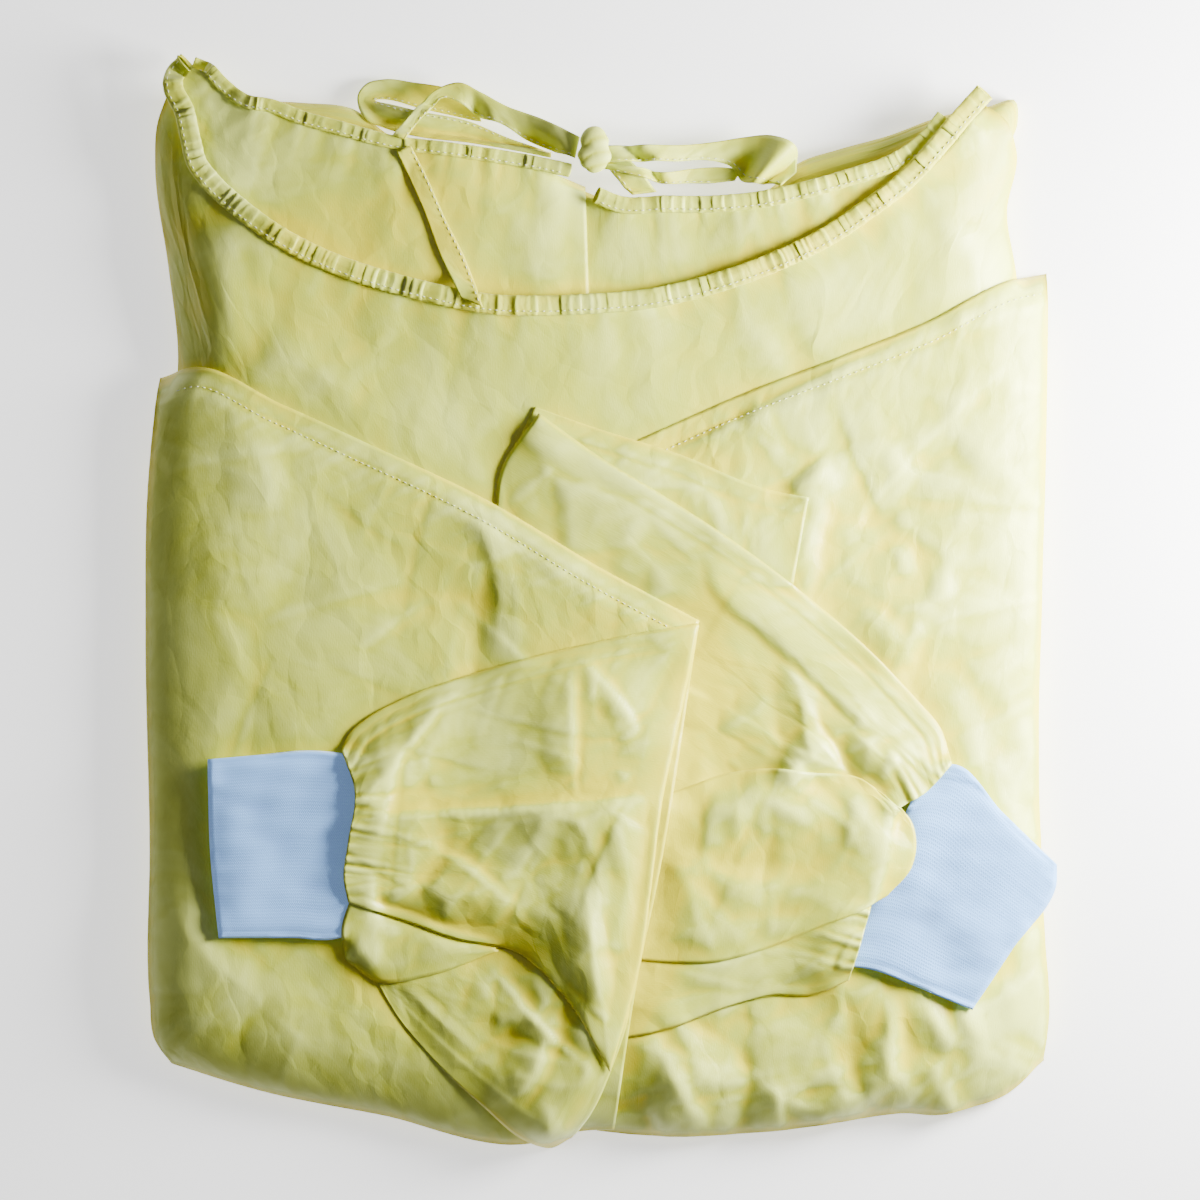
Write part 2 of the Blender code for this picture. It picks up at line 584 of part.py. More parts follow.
def build():
    for obj in list(bpy.data.objects):
        bpy.data.objects.remove(obj, do_unlink=True)
    laid.clear()
    folded_skirt()
    panel("back_left", CLOTH, YELLOW)
    panel("back_right", CLOTH, YELLOW)
    panel("front", CLOTH, YELLOW, cell=20 * MM, sides=("left", "right", "bottom"))
    for name in BINDINGS:
        binding(name)
    for name in TIES:
        tie(name)
    knot()
    panel("sleeve_left_upper", SLEEVE, YELLOW_PALE, cell=18 * MM, sides=("right", "bottom"), rim=0.5)
    panel("sleeve_left_elbow", SLEEVE, YELLOW_PALE, rim=0.5)
    cuff("cuff_left", "right")
    panel("sleeve_left_lower", SLEEVE, YELLOW_PALE, rim=0.5, cuff_side="right")
    panel("sleeve_left_flap", SLEEVE, YELLOW_PALE, cell=12 * MM, rim=0.5)
    panel("sleeve_right_upper", SLEEVE, YELLOW, cell=18 * MM, sides=("left", "bottom"), rim=0.5)
    cuff("cuff_right", "left")
    panel("sleeve_right_underfold", SLEEVE, YELLOW, cell=13 * MM, rim=0.5)
    panel("sleeve_right_strip", CLOTH, YELLOW, cell=10 * MM)
    panel("sleeve_right_lower", SLEEVE, YELLOW, rim=0.5, cuff_side="left")


build()
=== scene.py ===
"""Looks of a folded disposable procedure gown, lying front up on a pale floor.

Each panel is a thin sheet of nonwoven cloth between the same four borders as its
solid. Its height follows that solid, plus creases, puckers and crumples, and it
always clears what was laid before it. Tables are in millimetres: x runs to the
picture's right, y towards the neck, and z up.
"""

import json
import math

import bmesh
import bpy
import numpy as np
from bpy.props import FloatProperty, FloatVectorProperty, PointerProperty
from bpy.types import Operator, Panel, PropertyGroup
from bpy.utils import register_class, unregister_class
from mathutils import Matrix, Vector
from mathutils.bvhtree import BVHTree

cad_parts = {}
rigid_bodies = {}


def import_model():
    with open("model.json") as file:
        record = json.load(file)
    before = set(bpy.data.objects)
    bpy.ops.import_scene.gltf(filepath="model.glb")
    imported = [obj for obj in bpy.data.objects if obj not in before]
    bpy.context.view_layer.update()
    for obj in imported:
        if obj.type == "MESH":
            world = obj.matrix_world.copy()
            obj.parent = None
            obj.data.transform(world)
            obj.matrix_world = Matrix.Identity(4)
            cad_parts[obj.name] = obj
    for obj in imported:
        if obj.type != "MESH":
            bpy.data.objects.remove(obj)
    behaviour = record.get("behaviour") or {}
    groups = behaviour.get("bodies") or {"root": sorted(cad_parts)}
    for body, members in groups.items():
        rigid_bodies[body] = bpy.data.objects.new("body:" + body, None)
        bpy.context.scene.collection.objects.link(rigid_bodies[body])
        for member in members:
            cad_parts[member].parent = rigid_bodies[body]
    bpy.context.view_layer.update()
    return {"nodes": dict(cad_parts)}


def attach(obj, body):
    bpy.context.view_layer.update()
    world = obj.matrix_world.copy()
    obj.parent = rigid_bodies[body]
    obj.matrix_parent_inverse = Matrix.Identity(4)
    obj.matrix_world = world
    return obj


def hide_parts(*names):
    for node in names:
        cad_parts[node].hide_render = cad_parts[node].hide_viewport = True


bl_info = {
    "name": "Folded procedure gown",
    "version": (1, 0, 0),
    "blender": (4, 5, 0),
    "location": "3D View > Sidebar > Gown",
    "description": "Lays the cloth of a folded procedure gown over its solids",
    "category": "Object",
}

for leftover in list(bpy.data.objects):
    bpy.data.objects.remove(leftover, do_unlink=True)
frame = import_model()

MM = 0.001
MIDDLE = np.array((-1.52, 1.44))  # middle of the whole gown in the tables' frame
KEY_PLACE = (0.54, 0.10, 0.25)  # the soft light at the right, in metres
KEY_SIZE = 0.27
FILL_PLACE = (-0.2, 0.5, 1.5)
FILL_SIZE = 1.4
CAMERA_PLACE = (0.00107, 0.00081, 2.04)  # straight above the gown
LENS = 135  # millimetres, as for the sensor
SENSOR_WIDTH = 36
FLANK = 2.4  # how far a crease's flat flanks reach, in its stated spreads
SLUMP = 10.0 * MM  # how far the outer layers sag at the sides of the pile
SLUMP_REACH = 46 * MM
LIP_DROP = 9.0  # how far an outer edge turns down round the pile, in millimetres
SOFTEN = 36  # rounds of smoothing that take the facets off a solid's top
EDGE_POINTS = 500  # points that a border is read at
SKIRT_POINTS = 640  # points round the folded skirt
KNIT_ROW = 0.9 * MM  # height of one row of the cuffs' knitting
KNIT_PAINTED_GLOW = (0.32, 0.52, 1.0, 1)  # painted light: a faint blue glow of the knit, standing in for light passed on inside it, keeps its shadows pale
EASE_USUAL = (20, 3.0)  # over how far a folded edge at the pile's side eases down, and how far down
EASE = {
    ("front", "bottom"): (24, 6.0),
    ("sleeve_left_upper", "bottom"): (26, 6.0),
    ("sleeve_right_upper", "bottom"): (26, 6.0),
}

STEPS_OF = {  # spacing of a piece's points, as a share of the usual one
    "front": 1.35,
    "sleeve_right_upper": 0.88,
    "sleeve_left_upper": 0.88,
    "sleeve_left_lower": 0.9,
    "sleeve_right_lower": 0.8,
    "sleeve_left_elbow": 0.8,
    "sleeve_right_underfold": 0.75,
    "sleeve_left_flap": 0.75,
}
REST_USUAL = (22, 0.05)  # over how far a border's cloth comes down, and the share of height it keeps
REST = {
    ("sleeve_right_strip", "top"): (9, 0.05),
    ("sleeve_right_strip", "bottom"): (9, 0.05),
    ("sleeve_right_strip", "left"): (9, 0.05),
    ("sleeve_right_upper", "top"): (14, 0.05),
    ("sleeve_left_upper", "top"): (14, 0.05),
    ("sleeve_left_lower", "left"): (22, 0.15),
    ("sleeve_left_elbow", "left"): (22, 0.15),
    ("sleeve_left_flap", "left"): (45, 0.05),
}

# The four borders of each panel and sleeve stretch, left to right and top to bottom.
BORDERS = {
    "back_left": {
        "top": ((-12, 184), (8, 182), (49, 180), (86, 185), (112, 192), (136, 200), (162, 225)),
        "right": ((162, 225), (167, 218), (172, 212)),
        "bottom": ((-12, 124), (45, 131), (90, 149), (126, 175), (153, 196), (172, 212)),
        "left": ((-12, 184), (-12, 124)),
    },
    "back_right": {
        "top": (
            (-185, 242), (-177, 239), (-167, 231), (-159, 225), (-140, 219),
            (-115, 212), (-72, 204), (-32, 197), (-7, 189),
        ),
        "right": ((-7, 189), (-5, 126)),
        "bottom": ((-187, 214), (-178, 187), (-153, 164), (-117, 142), (-72, 129), (-5, 126)),
        "left": ((-185, 242), (-189, 236), (-188, 226), (-187, 214)),
    },
    "front": {
        "top": (
            (-194, 233), (-189, 222), (-184, 205), (-178, 190), (-162, 176), (-142, 162),
            (-120, 151), (-93, 144), (-63, 137), (-26, 134), (9, 136), (47, 143),
            (85, 154), (119, 174), (140, 191), (157, 207), (172, 225),
        ),
        "right": (
            (172, 225), (182, 217), (187, 205), (183, 176), (187, 151), (192, 65),
            (193, -133), (192, -183), (183, -207),
        ),
        "bottom": (
            (-188, -201), (-152, -214), (-100, -225), (-50, -234), (8, -234),
            (76, -231), (121, -225), (148, -222), (183, -207),
        ),
        "left": (
            (-194, 233), (-200, 216), (-201, 198), (-195, 151), (-191, 115), (-196, 60),
            (-198, -133), (-197, -180), (-188, -201),
        ),
    },
    "sleeve_left_upper": {
        "top": ((10, 71), (28, 79), (62, 94), (109, 112), (144, 126), (187, 147), (201, 150)),
        "right": (
            (201, 150), (201, 120), (200, 61), (198, -9), (197, -61), (200, -152), (202, -187), (200, -206),
        ),
        "bottom": (
            (-2, -237), (16, -239), (54, -239), (79, -237), (121, -231),
            (137, -229), (151, -230), (166, -227), (183, -221), (200, -206),
        ),
        "left": ((10, 71), (-12, -90), (-2, -237)),
    },
    "sleeve_left_elbow": {
        "top": ((-30, 89), (-4, 80), (34, 68), (74, 52), (93, 48)),
        "right": ((93, 48), (90, 32), (86, 9)),
        "bottom": ((-36, 76), (0, 47), (36, 27), (63, 11), (86, 9)),
        "left": ((-30, 89), (-36, 76)),
    },
    "sleeve_left_lower": {
        "top": (
            (-28, 86), (0, 66), (28, 49), (63, 26), (91, 5), (119, -19), (142, -43), (152, -55), (157, -71),
        ),
        "right": ((157, -71), (146, -83), (131, -93), (126, -115), (120, -137), (111, -168)),
        "bottom": ((0, -196), (27, -191), (61, -179), (77, -175), (94, -175), (111, -168)),
        "left": ((-28, 86), (-45, 60), (-47, 47), (-36, -7), (-18, -88), (-9, -151), (0, -196)),
    },
    "sleeve_left_flap": {
        "top": ((21, -88), (40, -81), (58, -75), (77, -73), (96, -75), (115, -77), (128, -86)),
        "right": ((128, -86), (139, -97), (141, -107), (139, -117), (128, -130)),
        "bottom": ((9, -158), (30, -160), (48, -160), (73, -154), (102, -142), (113, -138), (128, -130)),
        "left": ((21, -88), (16, -119), (9, -158)),
    },
    "sleeve_right_upper": {
        "top": ((-199, 103), (-185, 107), (-143, 90), (-108, 74), (-51, 47), (1, 16), (44, -7)),
        "right": ((44, -7), (27, -115), (16, -169), (6, -236)),
        "bottom": ((-194, -207), (-158, -218), (-99, -230), (-33, -243), (-9, -237), (6, -236)),
        "left": (
            (-199, 103), (-204, 53), (-205, -14), (-203, -110), (-203, -178), (-201, -196), (-194, -207),
        ),
    },
    "sleeve_right_underfold": {
        "top": ((-103, -159), (-81, -154), (-50, -155), (0, -133)),
        "right": ((0, -133), (13, -178), (5, -207), (-4, -228), (-13, -241)),
        "bottom": (
            (-101, -168), (-90, -186), (-72, -207), (-53, -225), (-35, -241), (-23, -246), (-13, -241),
        ),
        "left": ((-103, -159), (-101, -168)),
    },
    "sleeve_right_strip": {
        "top": ((-112, -131), (-86, -139), (-66, -146), (-49, -151)),
        "right": ((-49, -151), (-46, -155)),
        "bottom": ((-115, -159), (-100, -169), (-77, -166), (-46, -155)),
        "left": ((-112, -131), (-116, -144), (-115, -159)),
    },
    "sleeve_right_lower": {
        "top": ((-116, -65), (-113, -58), (-104, -50), (-91, -43), (-51, -29), (5, -15), (44, -8)),
        "right": ((44, -8), (36, -48), (27, -90), (23, -122), (18, -158), (4, -209)),
        "bottom": ((-113, -133), (-86, -142), (-66, -149), (-37, -156), (-14, -178), (4, -209)),
        "left": ((-116, -65), (-110, -83), (-113, -106), (-115, -122), (-113, -133)),
    },
    "cuff_right": {
        "top": ((-176, -69), (-153, -67), (-131, -65), (-103, -68)),
        "right": ((-103, -68), (-102, -144)),
        "bottom": ((-171, -149), (-153, -149), (-135, -149), (-123, -150), (-102, -144)),
        "left": ((-176, -69), (-175, -110), (-171, -149)),
    },
    "cuff_left": {
        "top": ((146, -73), (157, -71), (180, -93), (204, -116)),
        "right": ((204, -116), (204, -124), (184, -154), (166, -181)),
        "bottom": ((106, -161), (121, -163), (144, -172), (166, -181)),
        "left": ((146, -73), (126, -115), (106, -161)),
    },
}

# Placed creases: a line of points, its height (a valley is negative), and how far it
# spreads to the left and to the right of the line. A narrow side makes a crisp step.
CREASES = {
    "front": (
        (((-172, 160), (-168, 136), (-166, 112)), 1.8, 5, 9),
        (((-186, 158), (-160, 162), (-140, 158)), 1.3, 5, 8),
        (((-54, 79), (-40, 60), (-28, 50)), -1.2, 9, 5),
        (((60, 130), (78, 112), (84, 98)), 0.9, 4, 7),
        (((150, 176), (166, 158), (172, 140)), 1.0, 5, 8),
    ),
    "sleeve_right_upper": (
        (((-56, 41), (-46, 12), (-45, -16)), 0.6, 1.8, 2.2),
        (((-52, 42), (-40, 10), (-38, -14)), 0.55, 1.8, 3),
        (((-194, -135), (-176, -158), (-150, -180)), 2.0, 6, 14),
        (((-160, 80), (-150, 58), (-148, 40)), 1.0, 4, 8),
        (((-120, -176), (-96, -190), (-60, -214)), 1.0, 5, 9),
    ),
    "sleeve_right_lower": (
        (((-100, -95), (-40, -92), (27, -86)), 2.4, 1.5, 13),
        (((-98, -90), (-40, -87), (26, -81)), -0.7, 5, 1.5),
        (((-14, -20), (-13, -56), (-12, -86)), 1.2, 1.4, 6),
        (((-13, -20), (5, -39), (19, -59)), 1.2, 1.2, 4),
        (((-66, -37), (-87, -63), (-98, -78)), 1.5, 1.5, 6),
        (((-7, -124), (-4, -150), (-1, -178)), 1.8, 3, 5),
        (((-86, -104), (-62, -116), (-38, -136)), 1.0, 1.5, 6),
        (((6, -96), (12, -120), (8, -150)), 1.2, 4, 3),
    ),
    "sleeve_right_underfold": (
        (((-50, -161), (-26, -190), (0, -212)), 1.6, 1.5, 8),
        (((-89, -170), (-72, -186), (-55, -201)), 1.0, 2, 5),
        (((-23, -190), (-34, -214), (-46, -224)), 2.0, 3, 6),
    ),
    "sleeve_left_upper": (
        (((20, 68), (36, 72), (74, 90), (109, 107), (150, 126)), 1.6, 0.7, 16),
        (((85, 50), (94, 58), (103, 65)), 2.0, 2, 6),
        (((99, 52), (94, 33), (86, 14)), 2.2, 3, 6),
        (((97, 23), (93, 12), (90, 4)), 1.2, 2, 4),
        (((132, 28), (135, 20), (136, 12)), 1.6, 3, 6),
        (((117, -1), (126, -10), (135, -19)), 1.8, 3, 6),
        (((143, -6), (138, -17), (132, -28)), 1.6, 3, 6),
        (((26, -198), (34, -216), (42, -233)), 2.2, 3, 7),
        (((78, -217), (79, -226), (81, -236)), 1.8, 2, 6),
        (((124, -167), (129, -184), (130, -208), (135, -218)), 2.6, 3, 7),
        (((126, -213), (116, -223), (106, -233)), 1.8, 3, 5),
        (((141, -170), (149, -186), (157, -201)), 2.2, 3, 6),
        (((159, -179), (166, -190), (173, -201)), 1.8, 3, 5),
    ),
    "sleeve_left_elbow": (
        (((-45, 60), (10, 27), (43, 12)), 1.0, 2, 4),
        (((40, 60), (52, 42), (56, 24)), 1.0, 3, 5),
    ),
    "sleeve_left_lower": (
        (((49, 22), (51, 9), (73, -11), (99, -35), (131, -65)), 1.4, 12, 1.8),
        (((90, -36), (91, -53), (95, -72)), 2.0, 3, 5),
        (((92, -54), (101, -65), (109, -75)), 1.8, 2, 5),
        (((90, -65), (85, -76), (79, -86)), 1.6, 3, 4),
        (((121, -58), (119, -68), (117, -77)), 1.5, 3, 5),
        (((131, -65), (128, -72), (124, -78)), 1.2, 2, 4),
        (((38, -141), (70, -142), (103, -140)), 1.6, 1.2, 7),
        (((31, -157), (48, -161), (73, -155)), 1.2, 2, 5),
        (((0, 40), (6, 0), (20, -50)), -1.2, 8, 6),
    ),
    "sleeve_left_flap": (
        (((60, -84), (80, -90), (96, -100)), 1.6, 3, 6),
        (((110, -86), (118, -96), (122, -104)), 1.4, 3, 5),
        (((50, -130), (80, -126), (108, -134)), 1.0, 4, 5),
    ),
}

# How each piece crumples: size of its facets, their slope, the seed of its pattern,
# and how many straight creases it has and how high they are.
CRUMPLE = {
    "back_left": (34, 0.06, 11, 8, 0.5),
    "back_right": (34, 0.06, 12, 8, 0.5),
    "front": (50, 0.055, 13, 26, 0.6),
    "sleeve_right_upper": (50, 0.065, 14, 26, 0.65),
    "sleeve_right_lower": (32, 0.11, 15, 30, 0.9),
    "sleeve_right_underfold": (22, 0.12, 16, 16, 0.8),
    "sleeve_right_strip": (14, 0.10, 17, 5, 0.5),
    "sleeve_left_upper": (32, 0.10, 18, 50, 0.9),
    "sleeve_left_elbow": (34, 0.09, 19, 12, 0.6),
    "sleeve_left_lower": (30, 0.115, 20, 46, 0.9),
    "sleeve_left_flap": (24, 0.12, 21, 20, 0.75),
}

# Painted shade and painted highlight: where the cloth is painted deeper as shade, or paler as highlight if
# negative: a line, its half width, its strength.
PAINTED_SHADE_AND_HIGHLIGHTS = (
    (((48, 0), (42, -48), (33, -90), (28, -125), (22, -165)), 12, 1.2),
    (((-95, -91), (-40, -88), (26, -82)), 6, 0.42),
    (((-9, -28), (-8, -56), (-7, -80)), 7, 0.36),
    (((96, 46), (94, 24), (90, 4)), 6, 0.42),
    (((119, -12), (142, -38), (160, -66)), 8, 0.48),
    (((14, -180), (26, -198), (45, -205)), 10, 0.36),
    (((128, 180), (108, 164), (84, 150)), 8, 0.54),
    (((60, -30), (66, -60), (58, -90)), 12, 0.30),
    (((-50, -28), (-20, -16), (30, -2)), 5, 0.30),
    (((40, 66), (74, 52), (92, 48)), 5, 0.30),
    (((-88, -150), (-50, -150), (-30, -160)), 7, 0.36),
    (((120, -190), (130, -206), (150, -212)), 9, 0.30),
    (((-96, 222), (-60, 226), (0, 204), (60, 200)), 14, -0.55),
    (((-120, 185), (-90, 175), (-60, 165)), 16, 0.21),
    (((-165, 130), (-130, 160), (-80, 185)), 24, 0.30),
    (((62, -118), (100, -112)), 22, 0.35),
    (((-52, 38), (-46, 5), (-44, -18)), 6, -0.45),
    (((-172, 220), (-166, 200), (-158, 188)), 12, -1.1),
    (((-140, 198), (-118, 196), (-104, 188)), 9, -0.30),
    (((-173, 158), (-172, 110)), 6, -0.54),
    (((-30, -112), (-18, -122)), 13, -0.48),
    (((-190, -150), (-165, -178)), 15, -0.36),
    (((-52, -52), (-34, -72)), 12, -0.30),
    (((-148, 45), (-118, 25)), 20, -0.30),
    (((-75, 98), (-58, 84)), 18, -0.30),
    (((38, 132), (60, 128)), 12, -0.24),
    (((104, 142), (118, 134)), 16, -0.36),
    (((112, 78), (128, 56)), 22, -0.30),
    (((165, 70), (178, 20)), 20, -0.36),
    (((162, -178), (180, -192)), 13, -0.42),
    (((40, -212), (62, -222)), 12, -0.36),
    (((20, 150), (40, 168)), 14, -0.24),
    (((138, -134), (150, -142), (168, -156)), 7, 0.9),
    (((-121, -76), (-127, -92)), 6, 0.5),
)

# Lines that the gathered neckline follows, from the shoulder at the wearer's right.
NECK_FRONT = (
    (-186, 245), (-191, 240), (-192, 233), (-187, 222), (-184, 209), (-181, 198),
    (-175, 190), (-162, 178), (-144, 165), (-117, 152), (-92, 144), (-72, 139),
    (-52, 135), (-26, 134), (-3, 135), (20, 137), (47, 143), (76, 153),
    (101, 165), (119, 177), (135, 189), (152, 207), (162, 219), (172, 230),
)
NECK_BACK_RIGHT = (
    (-184, 244.5), (-178, 242), (-170, 234), (-159, 226), (-148, 224), (-135, 219),
    (-117, 214), (-95, 208), (-72, 205), (-50, 202), (-32, 199), (-14, 195),
)
NECK_BACK_LEFT = (
    (-2, 184), (8, 180), (29, 180), (50, 180), (72, 182), (91, 186),
    (112, 192), (132, 199), (146, 209), (154, 219),
)
# Each binding: its line, gathers along it, width, depth, and the panel it is sewn to.
BINDINGS = {
    "neck_binding_back_right": (NECK_BACK_RIGHT, 34, 6.5, 2.2, "back_right"),
    "neck_binding_back_left": (NECK_BACK_LEFT, 38, 8.0, 2.4, "back_left"),
    "neck_binding_front": (NECK_FRONT, 98, 9.0, 2.8, "front"),
}

# Neck ties: both edges of the tape at each station, as x, y and x, y.
TIES = {
    "tie_right_loop": (
        (-22.5, 204.3, -22.5, 201.2), (-42.8, 211.1, -45.5, 205.7), (-59.4, 218.2, -59, 207.9),
        (-82.4, 222.8, -85, 211.1), (-95, 225.9, -97.7, 214.7), (-100.8, 227.2, -105.8, 218.2),
        (-102.2, 227.7, -109.8, 224.6), (-102.2, 228.2, -110.2, 230.8), (-100.8, 228.6, -106.2, 236.2),
        (-96.8, 228.6, -99.5, 238.1), (-83.2, 225, -83.7, 236.7), (-68, 221.4, -69.8, 234.5),
        (-54, 218.2, -56.2, 229.1),
    ),
    "tie_right_tail": (
        (-52.6, 133.2, -63, 137.7), (-60.8, 155.7, -72.9, 158), (-69.8, 173.7, -79.7, 176.8),
        (-78.8, 194, -87.8, 194.8), (-85.2, 206.2, -91.8, 203.4),
    ),
    "tie_right_top": (
        (-93.6, 210.4, -87.6, 208.6), (-88.6, 217.8, -84.5, 214.3), (-81.5, 225.9, -77.9, 221.8),
        (-75.2, 231.8, -70.2, 228.6), (-63.9, 235.8, -65.7, 227.2), (-54, 231.3, -54, 219.6),
        (-43.6, 225.5, -45, 216.5), (-27.9, 219.6, -33.3, 209.2), (-9.5, 210.2, -11.7, 200.2),
    ),
    "tie_left_root": (
        (-1.6, 203.2, 6.5, 206.8), (6.3, 192.2, 16.6, 196.7), (13.8, 184.2, 25.4, 186),
    ),
    "tie_left_loop_low": (
        (2.1, 198.6, 1.4, 196.2), (18.9, 196.4, 18.9, 191.9), (27.9, 194.8, 28.4, 189.5),
        (40.1, 196.7, 40.1, 189.9), (54.5, 197.6, 48.1, 189.9), (63.5, 196.7, 60.3, 191.2),
    ),
    "tie_left_loop_top": (
        (1.2, 207, 2.1, 198.9), (20.2, 207, 20.2, 199.3), (33.8, 207, 32.9, 199.3),
        (53.1, 209.2, 47.2, 200.2), (64.8, 211.1, 58.1, 197.6), (78.3, 211.5, 63.5, 190.3),
        (87.8, 206.6, 78.3, 188.6), (88.2, 194.8, 80.5, 187.7),
    ),
}

# Outline of the folded skirt, clockwise from the corner at the wearer's right neck.
SKIRT_OUTLINE = (
    (-189, 228), (-195, 214), (-195, 198), (-190, 151), (-187, 115), (-190, 79),
    (-193, 38), (-194, -43), (-193, -124), (-193, -176), (-188, -192), (-178, -201),
    (-152, -210), (-104, -220), (-50, -230), (8, -230), (76, -227), (121, -221),
    (148, -218), (176, -207), (187, -194), (190, -176), (190, -133), (189, -43),
    (188, 65), (188, 119), (183, 150), (178, 174), (183, 205), (189, 218),
    (188, 229), (175, 226), (155, 222), (130, 213), (108, 207), (90, 201), (75, 188),
    (45, 180), (9, 181), (-7, 188), (-32, 194), (-72, 204), (-97, 214),
    (-112, 225), (-135, 228), (-159, 229), (-176, 230),
)
# Edge of the folded skirt from underneath to the top: how far in, how high, how wavy.
SKIRT_PROFILE = (
    (9.0, 0.0, 0.0), (4.0, 0.0, 0.1), (1.6, 0.3, 0.3), (0.5, 0.9, 0.5), (0.4, 1.6, 0.6),
    (1.2, 2.3, 0.5), (3.2, 2.7, 0.2), (3.2, 3.1, 0.2), (1.5, 3.6, 0.7), (1.1, 4.3, 0.8),
    (1.7, 5.0, 0.7), (4.2, 5.6, 0.3), (4.2, 6.0, 0.3), (2.6, 6.6, 0.8), (2.9, 7.4, 0.8),
    (4.0, 8.6, 0.5), (6.0, 10.0, 0.4), (8.5, 11.6, 0.3), (11.5, 13.0, 0.2), (15.5, 14.6, 0.1),
    (20.0, 16.0, 0.0), (25.5, 17.2, 0.0), (32.0, 18.2, 0.0), (40.0, 18.8, 0.0), (50.0, 19.0, 0.0),
)


class GownSettings(PropertyGroup):
    """Sizes of the gown's cloth."""

    cloth: FloatProperty(
        name="Cloth", description="Thickness of the nonwoven cloth", default=0.35 * MM, unit="LENGTH"
    )
    step: FloatProperty(
        name="Step", description="Spacing of the points of the laid cloth", default=2.0 * MM, unit="LENGTH"
    )
    gap: FloatProperty(
        name="Gap", description="Clearance between layers", default=0.15 * MM, unit="LENGTH"
    )
    crumple: FloatProperty(
        name="Crumple", description="How strongly the cloth is crumpled", default=1.0, min=0, max=2
    )
    crease: FloatProperty(
        name="Crease", description="How high the placed creases stand", default=1.35, min=0, max=2
    )
    fold_round: FloatProperty(
        name="Fold radius", description="Distance over which a folded edge turns down",
        default=4.0 * MM, unit="LENGTH",
    )
    seam_band: FloatProperty(
        name="Seam band", description="Width of the seam allowance along a sleeve",
        default=9.0 * MM, unit="LENGTH",
    )
    stitch_pitch: FloatProperty(
        name="Stitch pitch", description="Distance from stitch to stitch", default=3.0 * MM, unit="LENGTH"
    )
    thread: FloatProperty(
        name="Thread", description="Thickness of the sewing thread", default=0.42 * MM, unit="LENGTH"
    )
    rib: FloatProperty(
        name="Rib", description="Width of one rib of the cuffs",
        default=1.5 * MM, unit="LENGTH",
    )
    knit: FloatProperty(
        name="Knit", description="Thickness of the knit cuff",
        default=0.9 * MM, unit="LENGTH",
    )


class ColourSettings(PropertyGroup):
    """Colours and light of the gown."""

    # Painted highlight: the pale colour of crests and of the listed pale patches.
    pale: FloatVectorProperty(
        name="Pale cloth", description="Cloth on high and bright places", subtype="COLOR",
        default=(0.82, 0.91, 0.20),
    )
    mid: FloatVectorProperty(
        name="Cloth", description="Cloth on ordinary places", subtype="COLOR", default=(0.63, 0.69, 0.058)
    )
    # Painted shade: the saturated yellow of hollows, of cloth under higher layers and of the listed shade
    # patches.
    painted_shade: FloatVectorProperty(
        name="Deep cloth", description="Cloth in its valleys and overlaps", subtype="COLOR",
        default=(0.82, 0.73, 0.013),
    )
    knit: FloatVectorProperty(
        name="Knit", description="Bluish white of the cuffs", subtype="COLOR", default=(0.25, 0.54, 1.0)
    )
    thread: FloatVectorProperty(
        name="Thread", description="Sewing thread", subtype="COLOR", default=(0.90, 0.93, 0.62)
    )
    key: FloatProperty(
        name="Key light", description="Power of the light at the right",
        default=22.5, unit="POWER",
    )
    fill: FloatProperty(
        name="Fill light", description="Power of the light above",
        default=2.0, unit="POWER",
    )
    sky: FloatProperty(name="Sky", description="Brightness of the surroundings", default=0.07, min=0)


def sizes():
    """The scene's gown sizes."""
    return bpy.context.scene.gown_sizes


def colours():
    """The scene's gown colours and light."""
    return bpy.context.scene.gown_colours


# Lines and grids in plan


def smooth_line(points, count):
    """Points evenly spaced along a smooth curve through the given ones, in metres."""
    given = (np.array(points, float) - MIDDLE) * MM
    if len(given) == 2:
        return np.linspace(given[0], given[1], count)
    chord = np.r_[0, np.cumsum(np.linalg.norm(np.diff(given, axis=0), axis=1))]
    slope = np.gradient(given, chord, axis=0)
    dense = np.linspace(0, chord[-1], 40 * len(given))
    span = np.clip(np.searchsorted(chord, dense, "right") - 1, 0, len(given) - 2)
    width = (chord[span + 1] - chord[span])[:, None]
    t = (dense - chord[span])[:, None] / width
    curve = (
        (2 * t**3 - 3 * t**2 + 1) * given[span]
        + (t**3 - 2 * t**2 + t) * width * slope[span]
        + (3 * t**2 - 2 * t**3) * given[span + 1]
        + (t**3 - t**2) * width * slope[span + 1]
    )
    return evenly(curve, count)


def evenly(curve, count):
    """Points at equal distances along a curve."""
    length = np.r_[0, np.cumsum(np.linalg.norm(np.diff(curve, axis=0), axis=1))]
    wanted = np.linspace(0, length[-1], count)
    return np.stack([np.interp(wanted, length, column) for column in curve.T], axis=1)


def length_of(curve):
    """Length of a curve through its points."""
    return np.linalg.norm(np.diff(curve, axis=0), axis=1).sum()


def patch(borders, down, across):
    """A grid of plan points between four borders, rows from the neck downwards."""
    top, bottom = (smooth_line(borders[side], across) for side in ("top", "bottom"))
    left, right = (smooth_line(borders[side], down) for side in ("left", "right"))
    v = np.linspace(0, 1, down)[:, None, None]
    u = np.linspace(0, 1, across)[None, :, None]
    ruled = (1 - v) * top[None] + v * bottom[None] + (1 - u) * left[:, None] + u * right[:, None]
    corners = (1 - v) * ((1 - u) * top[0] + u * top[-1]) + v * ((1 - u) * bottom[0] + u * bottom[-1])
    return ruled - corners


def plan_of(name, step):
    """A piece's grid of plan points, at about this spacing."""
    borders = BORDERS[name]
    length = {side: length_of(smooth_line(points, 60)) for side, points in borders.items()}
    down = max(4, round(max(length["left"], length["right"]) / step) + 1)
    across = max(4, round(max(length["top"], length["bottom"]) / step) + 1)
    return patch(borders, down, across)


